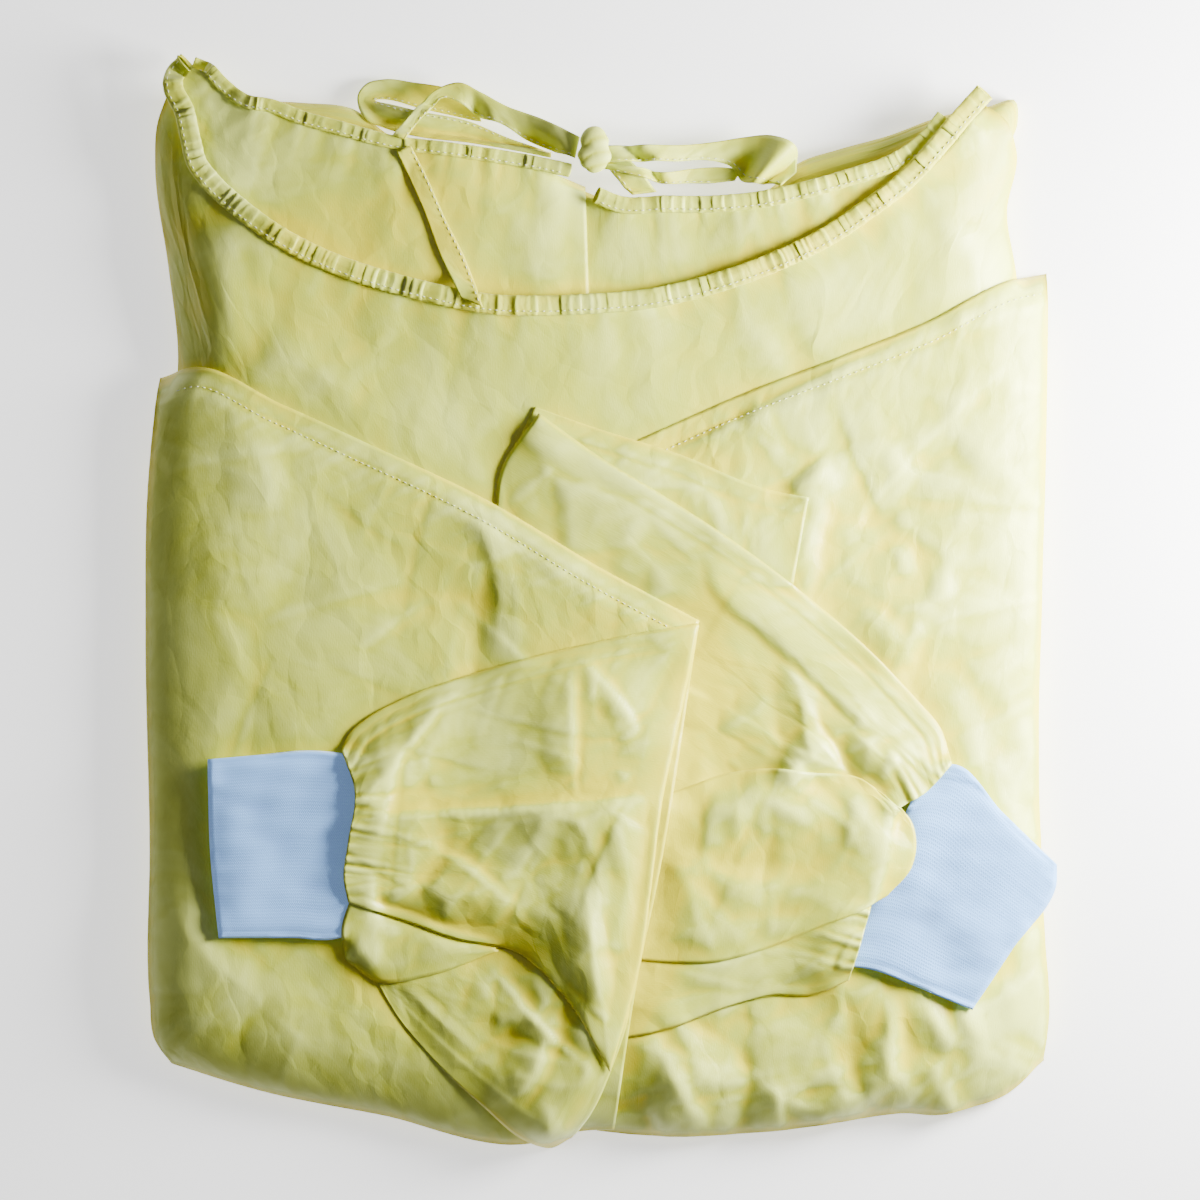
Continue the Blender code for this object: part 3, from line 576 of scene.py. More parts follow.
def nearest(plan, line):
    """Distance of each plan point from a dense line, and how far along it that is."""
    flat = plan.reshape(-1, 2)
    best = np.full(len(flat), 9.0)
    along = np.zeros(len(flat))
    walked = np.r_[0, np.cumsum(np.linalg.norm(np.diff(line, axis=0), axis=1))]
    for start in range(0, len(line), 16):
        part = line[start : start + 16]
        away = np.linalg.norm(flat[:, None] - part[None], axis=2)
        pick = away.argmin(axis=1)
        near = away[np.arange(len(flat)), pick]
        better = near < best
        best[better] = near[better]
        along[better] = walked[start + pick[better]]
    return best.reshape(plan.shape[:-1]), along.reshape(plan.shape[:-1])


def blur(field, rounds):
    """The field with each point averaged with its neighbours, so many times."""
    for _ in range(rounds):
        wide = np.pad(field, 1, mode="edge")
        field = (wide[:-2, 1:-1] + wide[2:, 1:-1] + wide[1:-1, :-2] + wide[1:-1, 2:] + 2 * field) / 6
    return field


# Relief of the cloth


def nearest_seed(plan, spacing, seed):
    """Squared distance to the nearest of a jittered lattice of seeds, in squared cells."""
    table = np.random.default_rng(seed).uniform(-0.48, 0.48, (64, 64, 2))
    cells = plan / spacing
    home = np.floor(cells).astype(int)
    best = np.full(plan.shape[:-1], 9.0)
    for i in range(-2, 3):
        for j in range(-2, 3):
            cell = home + (i, j)
            place = cell + 0.5 + table[cell[..., 0] % 64, cell[..., 1] % 64]
            best = np.minimum(best, ((cells - place) ** 2).sum(axis=-1))
    return best


def facets(plan, spacing, slope, seed):
    """Flat facets that meet in crisp ridges and valleys, as crumpled cloth does."""
    bend = 0.12 * spacing * np.stack([swell(plan, 2.2 * spacing, seed + 70 + k) for k in (0, 1)], axis=-1)
    high = nearest_seed(plan + bend, spacing, seed)
    low = nearest_seed(plan + bend, spacing, seed + 500)
    return spacing * slope * (high - low)


def swell(plan, size, seed):
    """Smooth waves of about this size, from -1 to 1."""
    rng = np.random.default_rng(seed)
    total = 0
    for _ in range(6):
        turn, phase = rng.uniform(0, 2 * math.pi, 2)
        wave = 2 * math.pi / (size * rng.uniform(0.7, 1.6))
        total = total + np.sin(wave * (plan @ (math.cos(turn), math.sin(turn))) + phase)
    return total / 3


def fold_lines(plan, count, height, seed):
    """Long straight creases left by packing: a crisp edge with one steep and one gentle side."""
    rng = np.random.default_rng(seed)
    flat = plan.reshape(-1, 2)
    total = np.zeros(len(flat))
    for centre in flat[rng.integers(0, len(flat), count)]:
        turn = rng.uniform(0, math.pi)
        half, steep, gentle = rng.uniform(14, 55) * MM, rng.uniform(1.6, 3.0) * MM, rng.uniform(8, 18) * MM
        onward = np.array((math.cos(turn), math.sin(turn)))
        along = (flat - centre) @ onward
        across = (flat - centre) @ np.array((-onward[1], onward[0])) + 0.06 * along**2 / half
        taper = np.sqrt(np.clip(1 - (along / half) ** 2, 0, 1))
        spread = np.where(across > 0, gentle, steep) * (0.4 + 0.6 * taper)
        ridge = np.clip(1 - np.abs(across) / spread, 0, 1) * taper
        total += rng.choice((-0.7, 1.0)) * rng.uniform(0.4, 1.0) * height * ridge
    return total.reshape(plan.shape[:-1])


def crease(plan, points, height, left, right):
    """One placed crease: it tapers at its ends, and falls away at its own rate on each side."""
    line = smooth_line(points, 60)
    flat = plan.reshape(-1, 2)
    away = np.linalg.norm(flat[:, None] - line[None], axis=2)
    pick = away.argmin(axis=1)
    near = away[np.arange(len(flat)), pick]
    heading = np.gradient(line, axis=0)[pick]
    offset = flat - line[pick]
    on_left = heading[:, 0] * offset[:, 1] - heading[:, 1] * offset[:, 0] > 0
    share = pick / (len(line) - 1)
    taper = np.sqrt(np.clip(np.sin(math.pi * np.clip(share, 0.02, 0.98)), 0, 1))
    spread = np.where(on_left, left, right) * FLANK * MM
    return (height * MM * taper * np.clip(1 - near / spread, 0, 1)).reshape(plan.shape[:-1])


def puckers(along, pitch, seed):
    """Uneven gathers along a seam, from 0 in their valleys to 1 on their ridges."""
    rng = np.random.default_rng(seed)
    shift = np.interp(along, np.linspace(0, 1.2, 300), np.cumsum(rng.uniform(-0.22, 0.22, 300)))
    wave = np.abs(np.sin(math.pi * (along / pitch) + shift))
    strong = 0.6 + 0.4 * np.sin(2.3 * along / pitch + rng.uniform(0, 6))
    return (1 - (1 - wave) ** 1.4) * strong


def pleats(along, pitch, seed):
    """Narrow crisp gathers, uneven in place, width and height, from 0 to 1."""
    rng = np.random.default_rng(seed)
    count = int(along[-1] / pitch) + 2
    centres = (np.arange(count) + rng.uniform(-0.38, 0.38, count)) * pitch
    widths = pitch * rng.uniform(0.10, 0.30, count)
    strong = rng.uniform(0.25, 1.0, count)
    away = np.abs(along[:, None] - centres[None])
    return (strong * np.exp(-away / widths)).max(axis=1)


def seam_band(plan, name, side, pitch=7.0, lift=0.7, trail=0.45):
    """The seam allowance along a border: a raised band that puckers, and its sewn valley."""
    width = sizes().seam_band
    line = smooth_line(BORDERS[name][side], 400)
    away, along = nearest(plan, line)
    within = np.exp(-((np.clip(away - 0.55 * width, 0, None) / (0.45 * width)) ** 4))
    folds = puckers(along + 0.7 * away, pitch * MM, len(name))
    valley = np.exp(-(((away - width) / (0.9 * MM)) ** 2))
    beyond = np.exp(-np.clip(away - width, 0, None) / (9 * MM)) * (away > width)
    return MM * (lift * within * (0.7 + 0.8 * folds) - 0.7 * valley + trail * beyond * folds)


def neck_puckers(plan, name):
    """Short gathers that run from the binding into its panel."""
    relief = 0
    for line, gathers, _, _, panel in BINDINGS.values():
        if panel != name:
            continue
        dense = smooth_line(line, 500)
        away, along = nearest(plan, dense)
        pitch = 1.5 * length_of(dense) / gathers
        fine = puckers(along, pitch, gathers) * np.exp(-away / (9 * MM))
        broad = puckers(along, 3.4 * pitch, gathers + 1) * np.exp(-away / (26 * MM))
        relief = relief + MM * (1.1 * fine + 1.2 * broad)
    return relief


def cuff_puckers(plan, name, side):
    """The gathers where a sleeve is sewn into its narrower cuff."""
    line = smooth_line(BORDERS[name][side], 300)
    away, along = nearest(plan, line)
    fine = puckers(along, 5.2 * MM, 5) * np.exp(-away / (12 * MM))
    broad = puckers(along, 13 * MM, 6) * np.exp(-away / (34 * MM))
    return MM * (1.9 * fine + 1.5 * broad)


def relief_of(name, plan):
    """Height that creases, puckers and crumples add to a piece, at each plan point."""
    spacing, slope, seed, folds, fold_height = CRUMPLE[name]
    size = spacing * MM
    amount = 0.6 + 0.5 * swell(plan, 110 * MM, seed + 900)
    if name == "sleeve_left_upper":
        amount = amount + np.clip((-plan[..., 1] - 0.12) / 0.06, 0, 1)
    if name == "sleeve_right_upper":
        amount = amount * np.clip((plan[..., 0] + 0.24) / 0.14, 0.25, 1)
    if name in ("sleeve_right_lower", "sleeve_left_lower"):
        away, _ = nearest(plan, smooth_line(BORDERS[name]["top"], 300))
        amount = amount * (0.3 + 0.7 * np.clip((away - 16 * MM) / (8 * MM), 0, 1))
    amount = np.clip(amount, 0.1, 1.6)
    crumple = facets(plan, size, slope, seed) + 0.4 * facets(plan, 0.42 * size, slope, seed + 40)
    total = sizes().crumple * crumple * amount + 0.8 * MM * swell(plan, 2.5 * size, seed + 300)
    total = total + sizes().crumple * fold_lines(plan, folds, fold_height * MM, seed + 600)
    for points, height, left, right in CREASES.get(name, ()):
        total = total + sizes().crease * crease(plan, points, height, left, right)
    if name in ("front", "back_left", "back_right"):
        total = total + neck_puckers(plan, name)
    if name in ("sleeve_right_upper", "sleeve_left_upper", "sleeve_left_elbow"):
        total = total + seam_band(plan, name, "top", trail=0.9 if name == "sleeve_right_upper" else 0.45)
    if name in ("sleeve_right_lower", "sleeve_left_lower"):
        total = total + seam_band(plan, name, "top", pitch=10, lift=1.0)
        total = total + cuff_puckers(plan, name, "left" if "right" in name else "right")
    return blur(total, 1)


# What is already lying there


def sample(field, cell):
    """The field between its lattice points."""
    cell = np.clip(cell, 0, len(field) - 1.001)
    home = np.floor(cell).astype(int)
    part = cell - home
    found = 0
    for i in (0, 1):
        for j in (0, 1):
            share = np.abs(1 - i - part[..., 0]) * np.abs(1 - j - part[..., 1])
            found = found + share * field[home[..., 0] + i, home[..., 1] + j]
    return found


class Pile:
    """Height of the highest cloth laid so far, on a square lattice over the gown."""

    PITCH = 1.25 * MM
    REACH = 0.32

    def __init__(self):
        count = int(2 * self.REACH / self.PITCH) + 1
        self.height = np.zeros((count, count))

    def cell(self, plan):
        """Where plan points lie on the lattice, in its steps."""
        return (plan + self.REACH) / self.PITCH

    def lay(self, obj):
        """Adds a piece, feeling it from above at every lattice point over it."""
        bpy.context.view_layer.update()
        tree = BVHTree.FromObject(obj, bpy.context.evaluated_depsgraph_get())
        corners = np.array([vert.co for vert in obj.data.vertices])
        low, high = self.cell(corners[:, :2].min(axis=0)), self.cell(corners[:, :2].max(axis=0))
        for i in range(int(low[0]) - 1, int(high[0]) + 3):
            for j in range(int(low[1]) - 1, int(high[1]) + 3):
                place = Vector((i * self.PITCH - self.REACH, j * self.PITCH - self.REACH, 0.2))
                hit = tree.ray_cast(place, Vector((0, 0, -1)))[0]
                if hit is not None:
                    self.height[i, j] = max(self.height[i, j], hit.z)

    def at(self, plan):
        """Height at each plan point."""
        return sample(self.height, self.cell(plan))

    def under(self, plan, reach):
        """Greatest height at each plan point and close round it."""
        found = self.at(plan)
        for spoke in range(8):
            turn = spoke * math.pi / 4
            found = np.maximum(found, self.at(plan + reach * np.array((math.cos(turn), math.sin(turn)))))
        return found


pile = None


def solid_top(node, plan, underneath=False):
    """Height of a solid's upper or lower side at each plan point."""
    mesh = frame["nodes"][node].data
    mesh.calc_loop_triangles()
    tree = BVHTree.FromPolygons(
        [vert.co for vert in mesh.vertices], [tuple(tri.vertices) for tri in mesh.loop_triangles]
    )
    start, way = (-0.1, 1) if underneath else (0.2, -1)
    highest = max(vert.co.z for vert in mesh.vertices)
    found = []
    for x, y in plan.reshape(-1, 2):
        hit = tree.ray_cast(Vector((x, y, start)), Vector((0, 0, way)))[0]
        if hit is None:
            hit = tree.find_nearest(Vector((x, y, 0.7 * highest)))[0]
        found.append(hit.z)
    return np.array(found).reshape(plan.shape[:-1])


# Making pieces


def woven(points, low):
    """A grid of faces through the points, its texture square, and how low each point lies, kept as the
    valley attribute that sets its painted shade.
    """
    down, across = points.shape[:2]
    bm = bmesh.new()
    bm.loops.layers.uv.new("Cloth")
    valley = bm.verts.layers.float.new("valley")
    bmesh.ops.create_grid(bm, x_segments=across - 1, y_segments=down - 1, size=1, calc_uvs=True)
    bm.verts.ensure_lookup_table()
    for vert, place, painted_shade in zip(bm.verts, points.reshape(-1, 3), low.reshape(-1)):
        vert.co = place
        vert[valley] = painted_shade
    return bm


def scale_uv(bm, wide, long):
    """Stretches the texture square to the cloth's real size."""
    layer = bm.loops.layers.uv["Cloth"]
    for face in bm.faces:
        for loop in face.loops:
            loop[layer].uv = (loop[layer].uv[0] * wide, loop[layer].uv[1] * long)


def grid_piece(name, points, low, material_name, thickness, weld=False, flip=False, offset=-1.0):
    """A sheet through a grid of points; low is how far each lies in a valley, from 0 to 1, and sets its
    painted shade.
    """
    down, across = points.shape[:2]
    bm = woven(points[::-1], low[::-1])
    scale_uv(bm, length_of(points[down // 2]), length_of(points[:, across // 2]))
    if weld:
        bmesh.ops.remove_doubles(bm, verts=bm.verts, dist=1e-6)
    if flip:
        bmesh.ops.reverse_faces(bm, faces=bm.faces)
    obj = mesh_object(name, bm, material_name)
    solid = obj.modifiers.new("Cloth", "SOLIDIFY")
    solid.thickness = thickness
    solid.offset = offset
    solid.use_even_offset = False
    return obj


def place_mesh(mesh, material_name):
    """A new smooth object of this mesh, on the gown's one body."""
    mesh.shade_smooth()
    mesh.materials.append(bpy.data.materials[material_name])
    obj = bpy.data.objects.new(mesh.name, mesh)
    bpy.context.scene.collection.objects.link(obj)
    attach(obj, "root")
    return obj


def mesh_object(name, bm, material_name):
    """A new object of this bmesh, which is freed."""
    mesh = bpy.data.meshes.new(name)
    bm.to_mesh(mesh)
    bm.free()
    return place_mesh(mesh, material_name)


def declare(obj):
    """Hides the solid that the sheet stands for."""
    solid = obj.name.removesuffix("_cloth")
    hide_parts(solid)


def from_border(plan, name, side):
    """Distance of each plan point from a border of the piece."""
    return nearest(plan, smooth_line(BORDERS[name][side], EDGE_POINTS))[0]


def valleys(heights, step):
    """How far each point lies below its surroundings, about from 0 to 1: the mask of painted shade in
    hollows, and below 0 of painted highlight on crests.
    """
    close = blur(heights, max(1, round((3 * MM / step) ** 2)))
    wide = blur(heights, max(4, round((9 * MM / step) ** 2)))
    return np.clip((close - heights) / (0.5 * MM) + 0.4 * (wide - heights) / MM, -0.5, 0.7)


def painted_light_field():
    """How much painted shade, or painted highlight where negative, the listed lines put on the cloth, at
    every eighth lattice point.
    """
    marks = np.arange(0, len(pile.height), 8) * pile.PITCH - pile.REACH
    plan = np.stack(np.meshgrid(marks, marks, indexing="ij"), axis=-1)
    total = np.zeros(plan.shape[:-1])
    for points, half_width, strength in PAINTED_SHADE_AND_HIGHLIGHTS:
        away, _ = nearest(plan, smooth_line(points, 80))
        total += strength * np.exp(-((away / (half_width * MM)) ** 2))
    return total


def deepen():
    """Paints shade: a more saturated yellow on lower layers close beside the higher ones, where their
    shadow falls, plus the listed painted shade and highlights.
    """
    around = blur(pile.height, 90)
    painted_patches = painted_light_field()
    for obj in bpy.data.objects:
        layer = obj.data.attributes.get("valley") if obj.type == "MESH" else None
        if layer is None:
            continue
        corners = np.empty(len(obj.data.vertices) * 3)
        obj.data.vertices.foreach_get("co", corners)
        corners = corners.reshape(-1, 3)
        painted_shade = np.empty(len(corners))
        layer.data.foreach_get("value", painted_shade)
        cell = pile.cell(corners[:, :2])
        # Painted shadow: how far the cloth lies below the blurred pile beside it.
        below = sample(around, cell) - corners[:, 2]
        painted_shade = painted_shade + np.clip(below / (2.6 * MM), 0, 0.8) + sample(painted_patches, cell / 8)
        layer.data.foreach_set("value", np.clip(painted_shade, -1, 1))


def edge_drop(plan, name, sides):
    """How far a folded edge eases down towards what lies under it, at each plan point."""
    drop = np.zeros(plan.shape[:-1])
    for side in sides:
        reach, depth = EASE.get((name, side), EASE_USUAL)
        share = np.clip(1 - from_border(plan, name, side) / (reach * MM), 0, 1)
        drop = np.maximum(drop, depth * MM * (0.8 * share**1.6 + 0.2 * share**9))
    return drop


def rest_edges(plan, wanted, name, sides):
    """Brings a sheet down onto the pile at the named borders, so that they lie close."""
    ground = blur(pile.under(plan, 1.4 * MM), 4) + sizes().gap + sizes().cloth
    keep = np.ones(plan.shape[:-1])
    for side in sides:
        reach, held = REST.get((name, side), REST_USUAL)
        share = np.clip(from_border(plan, name, side) / (reach * MM), 0, 1)
        keep = np.minimum(keep, held + (1 - held) * (1 - (1 - share) ** 1.7))
    return np.where(wanted > ground, ground + (wanted - ground) * keep, wanted)


def settle(plan, wanted, rounds=6):
    """The wanted heights, raised smoothly wherever the pile would poke through."""
    short = pile.under(plan, 1.4 * MM) + sizes().gap + sizes().cloth - wanted
    lift = np.maximum(short, 0)
    for _ in range(rounds):
        lift = np.maximum(blur(lift, 2), short)
    return wanted + np.maximum(lift, 0)


def lips(points, low, sides, drop):
    """Adds rows past the named sides that turn down round the pile and rest beside it."""
    turns = ((0.35, 0.25), (0.65, 0.9), (0.8, 1.9), (0.85, 3.2), (0.8, 5.0), (0.7, 7.0), (0.6, drop))
    for side in sides:
        axis = 0 if side in ("top", "bottom") else 1
        first = side in ("top", "left")
        edge, inner = (0, 2) if first else (-1, -3)
        row = np.take(points, [edge], axis=axis)
        away = row - np.take(points, [inner], axis=axis)
        away[..., 2] = 0
        away /= np.linalg.norm(away, axis=-1, keepdims=True)
        fade = 1.0 if axis == 0 else np.clip(np.arange(len(points)) * 2.0 / 45, 0, 1)[:, None]
        for out, down in turns:
            turned = row + away * out * MM
            turned[..., 2] = row[..., 2] - down * MM * fade
            ground = pile.at(turned[..., :2]) + 2 * sizes().gap + sizes().cloth
            turned[..., 2] = np.maximum(turned[..., 2], np.where(ground > 0.002, ground, 1.5 * MM))
            points = np.concatenate([turned, points] if first else [points, turned], axis=axis)
            edge_low = np.take(low, [0 if first else -1], axis=axis)
            low = np.concatenate([edge_low, low] if first else [low, edge_low], axis=axis)
    return points, low


def slump(plan, name, sides):
    """How far a panel sags towards the outer sides of the pile."""
    sag = np.zeros(plan.shape[:-1])
    for side in sides:
        share = np.clip(1 - from_border(plan, name, side) / SLUMP_REACH, 0, 1)
        sag = np.maximum(sag, SLUMP * (1 - np.sqrt(1 - 0.98 * share**2)))
    return sag


def step_of(name):
    """Spacing of a piece's points: closer on the small crumpled pieces."""
    return sizes().step * STEPS_OF.get(name, 1.0) * 1.0


def sheet_piece(name, sides=(), rounded=("top",)):
    """One laid panel or sleeve stretch of a single visible ply."""
    step = step_of(name)
    plan = plan_of(name, step)
    base = blur(solid_top(name, plan), SOFTEN)
    outer = [side for side in rounded if side in sides]
    inner = [side for side in rounded if side not in sides]
    base = base - edge_drop(plan, name, outer) - slump(plan, name, sides)
    wanted = base + relief_of(name, plan) - 0.4 * MM
    if inner:
        wanted = rest_edges(plan, wanted, name, inner)
    heights = settle(plan, wanted)
    # Painted shade in the sheet's hollows, painted highlight on its crests.
    low = valleys(heights, step)
    points = np.dstack([plan, heights])
    if sides:
        points, low = lips(points, low, sides, LIP_DROP)
    obj = grid_piece(name + "_cloth", points, low, "Nonwoven", sizes().cloth)
    declare(obj)
    pile.lay(obj)
    return obj


def tube_piece(name, closed_end):
    """One flattened sleeve: two walls, joined along its folded edges."""
    step = step_of(name)
    plan = plan_of(name, step)
    relief = relief_of(name, plan)
    borders = (closed_end, "top", "bottom")
    base = rest_edges(plan, blur(solid_top(name, plan), SOFTEN) + relief - 0.3 * MM, name, borders)
    cloth, gap = sizes().cloth, sizes().gap
    under = rest_edges(plan, solid_top(name, plan, underneath=True), name, borders)
    lower = settle(plan, under) + 0.1 * MM
    upper = np.maximum(base, lower + 2 * cloth + gap)
    share = np.zeros(plan.shape[:-1])
    for side in borders:
        radius = sizes().fold_round * (0.35 if side == closed_end else 1.0)
        share = np.maximum(share, np.clip(1 - from_border(plan, name, side) / radius, 0, 1))
    open_wide = np.sqrt(1 - share**2)
    upper = lower + (upper - lower) * open_wide
    # Painted shade in the upper wall's hollows, painted highlight on its crests.
    low = valleys(upper, step)
    top_wall = np.dstack([plan, upper]).transpose(1, 0, 2)
    under_wall = np.dstack([plan, lower]).transpose(1, 0, 2)
    ring = np.concatenate([top_wall, under_wall[:, ::-1][:, 1:]], axis=1)
    # The under wall is given a fixed amount of painted shade.
    painted_shade = np.concatenate([low.T, np.full_like(low.T, 0.3)[:, 1:]], axis=1)
    obj = grid_piece(name + "_cloth", ring, painted_shade, "Nonwoven", cloth, weld=True, flip=True)
    declare(obj)
    pile.lay(obj)
    return obj


def skirt_piece():
    """The hidden layers under the front: one rounded stack with layered edges."""
    count = SKIRT_POINTS
    outline = smooth_line(SKIRT_OUTLINE + SKIRT_OUTLINE[:1], count + 1)[:-1]
    outward = outline / np.linalg.norm(outline, axis=1, keepdims=True)
    turn = np.arctan2(outline[:, 1], outline[:, 0])
    rings = []
    for row, (inset, height, wander) in enumerate(SKIRT_PROFILE):
        wave = np.sin(7 * turn + 1.9 * (row // 3)) + np.sin(17 * turn + 2.3 * (row // 4))
        fine = np.sin(53 * turn + 1.7 * (row // 3)) * 0.25
        plain = np.clip((outline[:, 1] - 0.12) / 0.04, 0, 1)
        layered = inset + 0.5 * wander * (1 + wave / 2 + fine)
        smooth = 1.0 + 49 * (height / 19) ** 5 + 8 * (height == 0)
        plan = outline - outward * ((layered + (smooth - layered) * plain) * MM)[:, None]
        bob = 0.18 * wander * np.sin(23 * turn + row // 3) * (1 - plain)
        rings.append(np.c_[plan, np.full(count, height * MM) + bob * MM])
    rings = np.array(rings)
    rings = np.concatenate([rings, rings[:, :1]], axis=1)
    # Painted shade in the grooves between the stacked layers' edges, and a little elsewhere.
    groove_shade = [0.9 if 2.5 < inset < 4 and 3 < height < 8 else 0.35 for inset, height, _ in SKIRT_PROFILE]
    low = np.repeat(np.array(groove_shade)[:, None], count + 1, axis=1)
    bm = woven(rings, low)
    bmesh.ops.remove_doubles(bm, verts=bm.verts, dist=1e-6)
    bmesh.ops.holes_fill(bm, edges=[edge for edge in bm.edges if edge.is_boundary], sides=0)
    bmesh.ops.recalc_face_normals(bm, faces=bm.faces)
    obj = mesh_object("folded_skirt_cloth", bm, "Nonwoven folded")
    declare(obj)
    pile.lay(obj)
    return obj


def binding_piece(name):
    """The gathered binding: a tube of cloth whose gathers stand up and lean."""
    line, gathers, width, depth, panel = BINDINGS[name]
    stations = 7 * gathers + 1
    path = smooth_line(line, stations)
    along = np.linspace(0, length_of(path), stations)
    heading = np.gradient(path, axis=0)
    onward = heading / np.linalg.norm(heading, axis=1, keepdims=True)
    side = np.c_[-onward[:, 1], onward[:, 0]]
    pitch = along[-1] / gathers
    full = pleats(along, pitch, gathers)
    lean = 0.9 * MM * np.sin(1.3 * along / pitch + 3 * full)
    sections = 16
    rings = []
    half = 0.5 * width * MM * (0.95 + 0.06 * full)
    floor = pile.under(path, 0.35 * width * MM) + sizes().gap
    solid = solid_top(name, path, underneath=True)
    base = np.maximum(blur(np.maximum(floor, solid)[None], 8)[0], floor)
    slow = 0.12 * np.sin(0.31 * along / pitch) + 0.10 * np.sin(0.83 * along / pitch + 2)
    high = depth * MM * (0.66 + slow + 0.26 * full)
    painted_shade = []
    for k in range(sections):
        turn = 2 * math.pi * k / sections
        out, up = math.cos(turn), math.sin(turn)
        rise = 0.5 + 0.5 * up if up > 0 else 0.5 + 0.5 * max(up, -1.0) * 0.9
        pinch = 1 - 0.3 * math.exp(-(((out + 0.45) / 0.16) ** 2)) * (up > 0)
        place = path + side * (half * out)[:, None] + onward * (lean * up)[:, None]
        rings.append(np.c_[place, base + high * rise * pinch])
        # Painted highlight on the tops of the fuller gathers, painted shade on the binding's underside.
        painted_shade.append(np.clip(0.3 - 0.7 * full * max(up, 0) + 0.3 * (up < 0), -0.5, 1))
    rings = np.array(rings + rings[:1])
    painted_shade = np.array(painted_shade + painted_shade[:1])
    bm = woven(rings, painted_shade)
    scale_uv(bm, along[-1], 3 * width * MM)
    bmesh.ops.remove_doubles(bm, verts=bm.verts, dist=1e-6)
    bmesh.ops.recalc_face_normals(bm, faces=bm.faces)
    obj = mesh_object(name + "_cloth", bm, "Binding")
    solid = obj.modifiers.new("Cloth", "SOLIDIFY")
    solid.thickness = 0.6 * sizes().cloth
    solid.offset = -1.0
    declare(obj)
    pile.lay(obj)
    seam = path - side * (0.28 * width * MM)
    stitches(name + "_stitches", seam[5:-5])
    return obj


def tie_piece(name):
    """A flat tape of folded cloth with sewn edges, following its stations."""
    rows = np.array(TIES[name], float)
    long = length_of(smooth_line(rows[:, :2], 60))
    steps = max(8, round(long / (1.2 * MM)))
    edges = np.stack([smooth_line(edge, steps) for edge in (rows[:, :2], rows[:, 2:])], axis=1)
    onward, across = edges[1:, 0] - edges[:-1, 0], edges[1:, 1] - edges[1:, 0]
    if (onward[:, 0] * across[:, 1] - onward[:, 1] * across[:, 0]).sum() < 0:
        edges = edges[:, ::-1]
    share = np.linspace(0.02, 0.98, 11)
    plan = edges[:, :1] * (1 - share)[None, :, None] + edges[:, 1:] * share[None, :, None]
    base = blur(solid_top(name, plan), 6)
    walked = np.linspace(0, long, steps)[:, None]
    centre = 2 * share[None] - 1
    relief = 0.55 * centre * np.sin(walked / (13 * MM) + 1) + 0.25 * np.sin(walked / (7 * MM))
    relief = relief + 0.22 * np.abs(np.sin(walked / (3.1 * MM) + 1.5 * centre))
    relief = relief - 0.35 * np.exp(-(((centre + 0.55) / 0.1) ** 2))
    support = pile.under(plan, 0.8 * MM) + sizes().gap + 0.6 * MM
    ground = blur(pile.under(plan, 3 * MM), 6)
    held = blur((ground > 4 * MM).astype(float), 12)
    base = base - 0.95 * held * np.clip(base - ground - 0.4 * MM, 0, None)
    heights = np.maximum(base + (relief - 0.5) * MM, support)
    heights = np.maximum(blur(heights, 2), support)
    # Painted shade where the tape dips, painted highlight where it rises.
    low = np.clip(0.5 - relief * 0.6, 0, 1)
    obj = grid_piece(name + "_cloth", np.dstack([plan, heights])[::-1], low[::-1], "Binding", 0.6 * MM)
    declare(obj)
    pile.lay(obj)
    sewn = plan[:, 1] * 0.85 + plan[:, 2] * 0.15
    stitches(name + "_stitches", sewn[2:-2])
    return obj


def knot_piece():
    """The bow's knot: a squat lump of tape, pinched between its turns."""
    bm = bmesh.new()
    bm.loops.layers.uv.new("Cloth")
    valley = bm.verts.layers.float.new("valley")
    bmesh.ops.create_uvsphere(bm, u_segments=48, v_segments=28, radius=0.5)
    solid = frame["nodes"]["tie_knot"].data
    low = np.array([vert.co for vert in solid.vertices])
    centre, size = (low.max(axis=0) + low.min(axis=0)) / 2, low.max(axis=0) - low.min(axis=0)
    for vert in bm.verts:
        x, y, z = vert.co * 2
        turn = 5.0 * y + 1.6 * x * x - 1.3 * x + 1.1 * z
        fold = abs(math.sin(turn)) ** 0.5
        waist = 0.94 - 0.16 * math.exp(-(((y - 0.15) / 0.2) ** 2)) + 0.06 * math.sin(3 * x + 2 * y)
        grow = (0.86 + 0.12 * fold) * waist
        share = np.array((x * grow, y * (0.93 + 0.07 * fold), z * grow))
        vert.co = Vector(centre + share * size / 2)
        # Painted shade in the pinches between the knot's turns.
        vert[valley] = 1 - fold
    obj = mesh_object("tie_knot_cloth", bm, "Binding")
    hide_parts("tie_knot")
    pile.lay(obj)
    return obj


